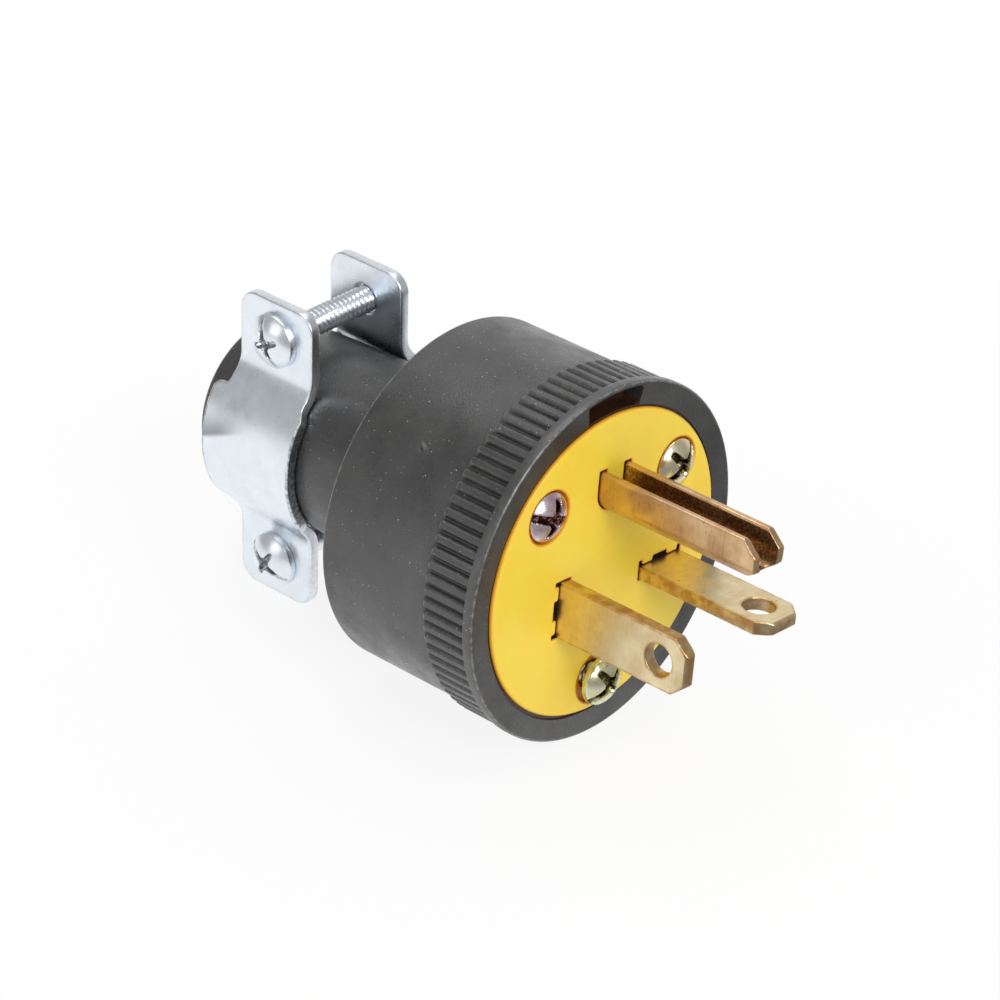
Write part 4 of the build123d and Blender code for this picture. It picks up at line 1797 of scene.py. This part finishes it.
@dataclass(frozen=True)
class Zinc:
    """Bright zinc plate: bluish white, with dull grey cut edges and a painted dark reflection on the near
    saddle.

    The painted reflection lies between two slanting lines, on which the height plus a slope times the place
    along the axis has the band's two values. It ends at its start along the axis, and to the side at its
    limits in X.
    """

    bright: Colour = (0.86, 0.91, 0.97)
    dull: Colour = (0.77, 0.82, 0.87)
    cut: Colour = (0.2, 0.21, 0.22)
    dark_reflection: Colour = (0.33, 0.345, 0.36)
    reflection_slope: float = 0.41
    reflection_band: tuple[float, float] = (19.2, 23.2)
    reflection_start: float = 40.6
    reflection_fade: float = 5.0
    reflection_edge: float = 0.35
    reflection_side: tuple[float, float] = (-8.5, -8.0)
    grain_depth: float = 0.003

    def painted_reflection(self, tree: Tree, place: Socket) -> Socket:
        """Mask of the painted reflection: quick to end at its lower line, and fading towards the upper one
        and the front.

        Args:
            tree: The material's tree.
            place: Object coordinates in millimetres.

        Returns:
            The mask.
        """
        parts = node(tree, "ShaderNodeSeparateXYZ", {0: place}).outputs
        slanted = computed(tree, "MULTIPLY_ADD", parts["Y"], self.reflection_slope, parts["Z"])
        low, high = self.reflection_band
        mask = ranged(tree, slanted, (low - self.reflection_edge, low + self.reflection_edge))
        limits = [
            ranged(tree, slanted, (low, high), (1.0, 0.0)),
            ranged(tree, parts["Y"], (self.reflection_start, self.reflection_start + self.reflection_fade)),
            ranged(tree, parts["X"], self.reflection_side, (1.0, 0.0)),
        ]
        for limit in limits:
            mask = computed(tree, "MULTIPLY", mask, limit)
        return mask

    def material(self, effects: Effects) -> Material:
        """Clouded plate whose roughness varies, rough cut edges, and the painted dark reflection.

        Args:
            effects: The shared effects.

        Returns:
            The material.
        """
        material, tree, shader = new_material("zinc_plate")
        place = millimetres(tree)
        cloud = use(tree, effects.mottle, {"Vector": place, "Scale": 0.35})
        colour = mixed(tree, cloud, rgba(self.bright), rgba(self.dull))
        # Painted reflection: a dark patch on the near saddle, in place of what the bent metal would mirror.
        colour = mixed(tree, self.painted_reflection(tree, place), colour, rgba(self.dark_reflection))
        # On the clamp screws this dark grey also fills the drives: painted shade.
        edges = {"Vector": place, "Edge": edge_mask(tree), "Scale": 2.0, "Amount": 0.8}
        colour = mixed(tree, use(tree, effects.wear, edges), colour, rgba(self.cut))
        tree.links.new(colour, shader.inputs["Base Color"])
        shader.inputs["Metallic"].default_value = 1.0
        rough = use(tree, effects.mottle, {"Vector": place, "Scale": 0.5, "Low": 0.24, "High": 0.36})
        tree.links.new(rough, shader.inputs["Roughness"])
        grain = use(tree, effects.mottle, {"Vector": place, "Scale": 3.0})
        bumped(tree, shader, grain, self.grain_depth)
        return material


@dataclass(frozen=True)
class Film:
    """Two colours of a thin film on steel, and the painted shade in the drive of its screw."""

    pale: Colour
    tint: Colour
    recess: Colour


@dataclass(frozen=True)
class Passivated:
    """Yellow-passivated steel, whose thin film differs from screw to screw.

    The ranges lie between the screws: from left to right, and downwards to the bottom one.
    """

    left: Film = Film((0.9, 0.84, 0.84), (0.62, 0.42, 0.5), (0.1, 0.018, 0.01))
    right: Film = Film((0.92, 0.87, 0.66), (0.78, 0.68, 0.44), (0.07, 0.045, 0.012))
    bottom: Film = Film((0.8, 0.86, 0.7), (0.7, 0.64, 0.3), (0.1, 0.09, 0.02))
    side_range: tuple[float, float] = (-4.0, 4.0)
    drop_range: tuple[float, float] = (2.0, 8.0)

    def material(self, effects: Effects) -> Material:
        """Each screw's film by its place on the insert, clouded between two colours, with painted shade in
        the drive.

        Args:
            effects: The shared effects.

        Returns:
            The material.
        """
        material, tree, shader = new_material("passivated_steel")
        place = millimetres(tree)
        parts = node(tree, "ShaderNodeSeparateXYZ", {0: place}).outputs
        side = ranged(tree, parts["X"], self.side_range)
        low = ranged(tree, computed(tree, "MULTIPLY", parts["Z"], -1.0), self.drop_range)
        films = (self.left, self.right, self.bottom)
        tones = [[rgba(getattr(film, part)) for film in films] for part in ("pale", "tint", "recess")]
        pale, tint, recess = (mixed(tree, low, mixed(tree, side, a, b), c) for a, b, c in tones)
        cloud = use(tree, effects.mottle, {"Vector": place, "Scale": 0.7})
        colour = mixed(tree, cloud, pale, tint)
        # Painted shade: the drive's recess is darkened with the film's recess colour.
        edges = {"Vector": place, "Edge": edge_mask(tree), "Scale": 1.5, "Amount": 2.0}
        colour = mixed(tree, use(tree, effects.wear, edges), colour, recess)
        tree.links.new(colour, shader.inputs["Base Color"])
        shader.inputs["Metallic"].default_value = 1.0
        rough = use(tree, effects.mottle, {"Vector": place, "Scale": 1.2, "Low": 0.16, "High": 0.34})
        tree.links.new(rough, shader.inputs["Roughness"])
        return material


@dataclass(frozen=True)
class GreenSteel:
    """Green-dyed steel of the grounding terminal's screw."""

    dark: Colour = (0.03, 0.2, 0.07)
    light: Colour = (0.08, 0.36, 0.14)
    metallic: float = 0.7

    def material(self, effects: Effects) -> Material:
        """Clouded green over metal.

        Args:
            effects: The shared effects.

        Returns:
            The material.
        """
        material, tree, shader = new_material("green_steel")
        place = millimetres(tree)
        cloud = use(tree, effects.mottle, {"Vector": place, "Scale": 0.8})
        tree.links.new(mixed(tree, cloud, rgba(self.dark), rgba(self.light)), shader.inputs["Base Color"])
        shader.inputs["Metallic"].default_value = self.metallic
        rough = use(tree, effects.mottle, {"Vector": place, "Scale": 1.5, "Low": 0.3, "High": 0.45})
        tree.links.new(rough, shader.inputs["Roughness"])
        return material


@dataclass(frozen=True)
class Lamp:
    """A square soft box, with its place and width in millimetres and its power in watts."""

    name: str
    place: Place
    width: float
    power: float


@dataclass
class Studio:
    """White floor, white surroundings, soft lamps and the camera of the photograph."""

    housing: Housing
    camera_place: Place = (-294.84, -235.30, 196.35)
    camera_target: Place = (-2.0, 13.0, 2.73)
    camera_roll: float = 4.945
    lens: float = 149.19
    sensor: float = 36.0
    clip: tuple[float, float] = (0.01, 20.0)
    ambient: tuple[float, float] = (0.42, 1.0)
    bright_side: Place = (0.81, 0.57, -0.1)
    bright_range: tuple[float, float] = (0.35, 1.0)
    white: Colour = (1.0, 1.0, 1.0)
    floor_colour: Colour = (0.86, 0.86, 0.86)
    floor_roughness: float = 0.9
    floor_gloss: float = 0.1
    floor_reach: float = 3000.0
    floor_cells: int = 8
    floor_gap: float = 0.02
    shadow_share: float = 0.12
    shadow_reach: tuple[float, float] = (40.0, 140.0)
    mirror_share: float = 0.9
    mirror_strength: tuple[float, float] = (0.25, 1.0)
    mirror_range: tuple[float, float] = (-32.0, 4.0)
    lamp_target: Place = (0.0, 15.0, 0.0)
    lamps: tuple[Lamp, ...] = (
        Lamp("front_box", (-260.0, -620.0, 420.0), 420.0, 3.3),
        Lamp("top_box", (60.0, 120.0, 640.0), 520.0, 1.6),
        Lamp("left_box", (-620.0, 120.0, 260.0), 380.0, 0.5),
    )

    def camera(self) -> None:
        """The camera: it looks from its place to the target, and is rolled about that line."""
        data = bpy.data.cameras.new("camera")
        data.lens, data.sensor_width = self.lens, self.sensor
        data.clip_start, data.clip_end = self.clip
        place, target = Vector(self.camera_place) * MM, Vector(self.camera_target) * MM
        look = (target - place).to_track_quat("-Z", "Y").to_matrix()
        roll = Matrix.Rotation(math.radians(self.camera_roll), 3, "Z")
        made = bpy.data.objects.new("camera", data)
        made.matrix_world = Matrix.Translation(place) @ (look @ roll).to_4x4()
        bpy.context.scene.collection.objects.link(made)
        bpy.context.scene.camera = made

    def light(self, lamp: Lamp) -> None:
        """Put up a lamp that faces the plug's middle.

        Args:
            lamp: The lamp.
        """
        data = bpy.data.lights.new(lamp.name, "AREA")
        data.size, data.energy = lamp.width * MM, lamp.power
        made = bpy.data.objects.new(lamp.name, data)
        made.location = Vector(lamp.place) * MM
        direction = Vector(self.lamp_target) * MM - made.location
        made.rotation_euler = direction.to_track_quat("-Z", "Y").to_euler()
        bpy.context.scene.collection.objects.link(made)

    def world(self) -> None:
        """Plain white where it is seen.

        For every other ray it is a light that grows towards the bright side, which is behind the plug.
        """
        world = bpy.data.worlds.new("studio")
        bpy.context.scene.world = world
        world.use_nodes = True
        tree = world.node_tree
        seen = node(tree, "ShaderNodeLightPath", {}).outputs["Is Camera Ray"]
        direction = node(tree, "ShaderNodeTexCoord", {}).outputs["Generated"]
        inputs = {0: direction, 1: self.bright_side}
        towards = node(tree, "ShaderNodeVectorMath", inputs, operation="DOT_PRODUCT").outputs["Value"]
        light = ranged(tree, towards, self.bright_range, self.ambient)
        background = next(n for n in tree.nodes if n.type == "BACKGROUND")
        background.inputs["Color"].default_value = rgba(self.white)
        tree.links.new(between(tree, seen, light, 1.0), background.inputs["Strength"])

    def floor(self) -> None:
        """A floor on which the plug lies with its rim and its body's rear edge.

        It is a grid z = a + b y, just below the line through the lowest points of both edges.
        """
        slope = self.housing.rim_step / (self.housing.body_length - self.housing.collar)
        count = self.floor_cells + 1
        reach = np.linspace(-self.floor_reach, self.floor_reach, count)
        x, y = np.meshgrid(reach, reach, indexing="ij")
        height = slope * (y - self.housing.collar) - self.housing.rim_radius - self.floor_gap
        points = np.stack([x, y, height], -1).reshape(-1, 3) * MM
        first = np.arange(count * count).reshape(count, count)[:-1, :-1].ravel()
        quads = np.stack([first, first + count, first + count + 1, first + 1], 1)
        mesh = bpy.data.meshes.new("floor")
        mesh.from_pydata(points.tolist(), [], quads.tolist())
        made = bpy.data.objects.new("floor", mesh)
        bpy.context.scene.collection.objects.link(made)
        mesh.materials.append(self.floor_material())

    def floor_material(self) -> Material:
        """Pale floor with a soft shadow: where it is seen or mirrored, it is mixed with plain white.

        Returns:
            The material.
        """
        material, tree, shader = new_material("floor")
        shader.inputs["Base Color"].default_value = rgba(self.floor_colour)
        shader.inputs["Roughness"].default_value = self.floor_roughness
        shader.inputs["Specular IOR Level"].default_value = self.floor_gloss
        path = node(tree, "ShaderNodeLightPath", {}).outputs
        place = millimetres(tree)
        away = node(tree, "ShaderNodeVectorMath", {0: place}, operation="LENGTH").outputs["Value"]
        plain = ranged(tree, away, self.shadow_reach, (1 - self.shadow_share, 1.0))
        seen = computed(tree, "MULTIPLY", plain, path["Is Camera Ray"])
        share = computed(tree, "MULTIPLY_ADD", path["Is Glossy Ray"], self.mirror_share, seen)
        along = node(tree, "ShaderNodeSeparateXYZ", {0: place}).outputs["Y"]
        bright = ranged(tree, along, self.mirror_range, self.mirror_strength)
        strength = between(tree, path["Is Glossy Ray"], 1.0, bright)
        white = node(tree, "ShaderNodeEmission", {"Color": rgba(self.white), "Strength": strength})
        blend = node(tree, "ShaderNodeMixShader", {0: share, 1: shader.outputs[0], 2: white.outputs[0]})
        output = next(n for n in tree.nodes if n.type == "OUTPUT_MATERIAL")
        tree.links.new(blend.outputs[0], output.inputs["Surface"])
        return material

    def build(self) -> None:
        """Set up the whole studio."""
        bpy.context.scene.view_settings.view_transform = "Standard"
        self.camera()
        self.world()
        self.floor()
        for lamp in self.lamps:
            self.light(lamp)


def dress(node_name: str, finish: Material) -> None:
    """Give a CAD node that stays its finish.

    Args:
        node_name: The node.
        finish: Its material.
    """
    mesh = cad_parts[node_name].data
    mesh.materials.clear()
    mesh.materials.append(finish)
    LOG.info("%s: %s", node_name, finish.name)


def main() -> None:
    """Build the plug piece by piece, dress the nodes that stay, and set up the studio."""
    effects = Effects()
    rubber, nylon, zinc = Rubber().material(effects), Nylon().material(effects), Zinc().material(effects)
    brass = Brass("blade_brass").material(effects)
    passivated = Passivated().material(effects)

    housing = Housing()
    housing.build(rubber)
    insert = Insert(housing)
    insert.build(nylon)
    LineBlades(insert).build(brass)
    GroundPin(insert).build(PIN_BRASS.material(effects))
    FaceScrews(insert).build(passivated)
    CordClamp().build(zinc)

    dress("terminal_block", nylon)
    dress("line_terminal_screws", brass)
    dress("ground_terminal_screw", GreenSteel().material(effects))
    for terminal in ("upright", "flat", "ground"):
        dress(f"{terminal}_pressure_plate", zinc)
    Studio(housing).build()


if __name__ == "__main__":
    logging.basicConfig(level=logging.INFO, format="%(name)s %(message)s")
    main()
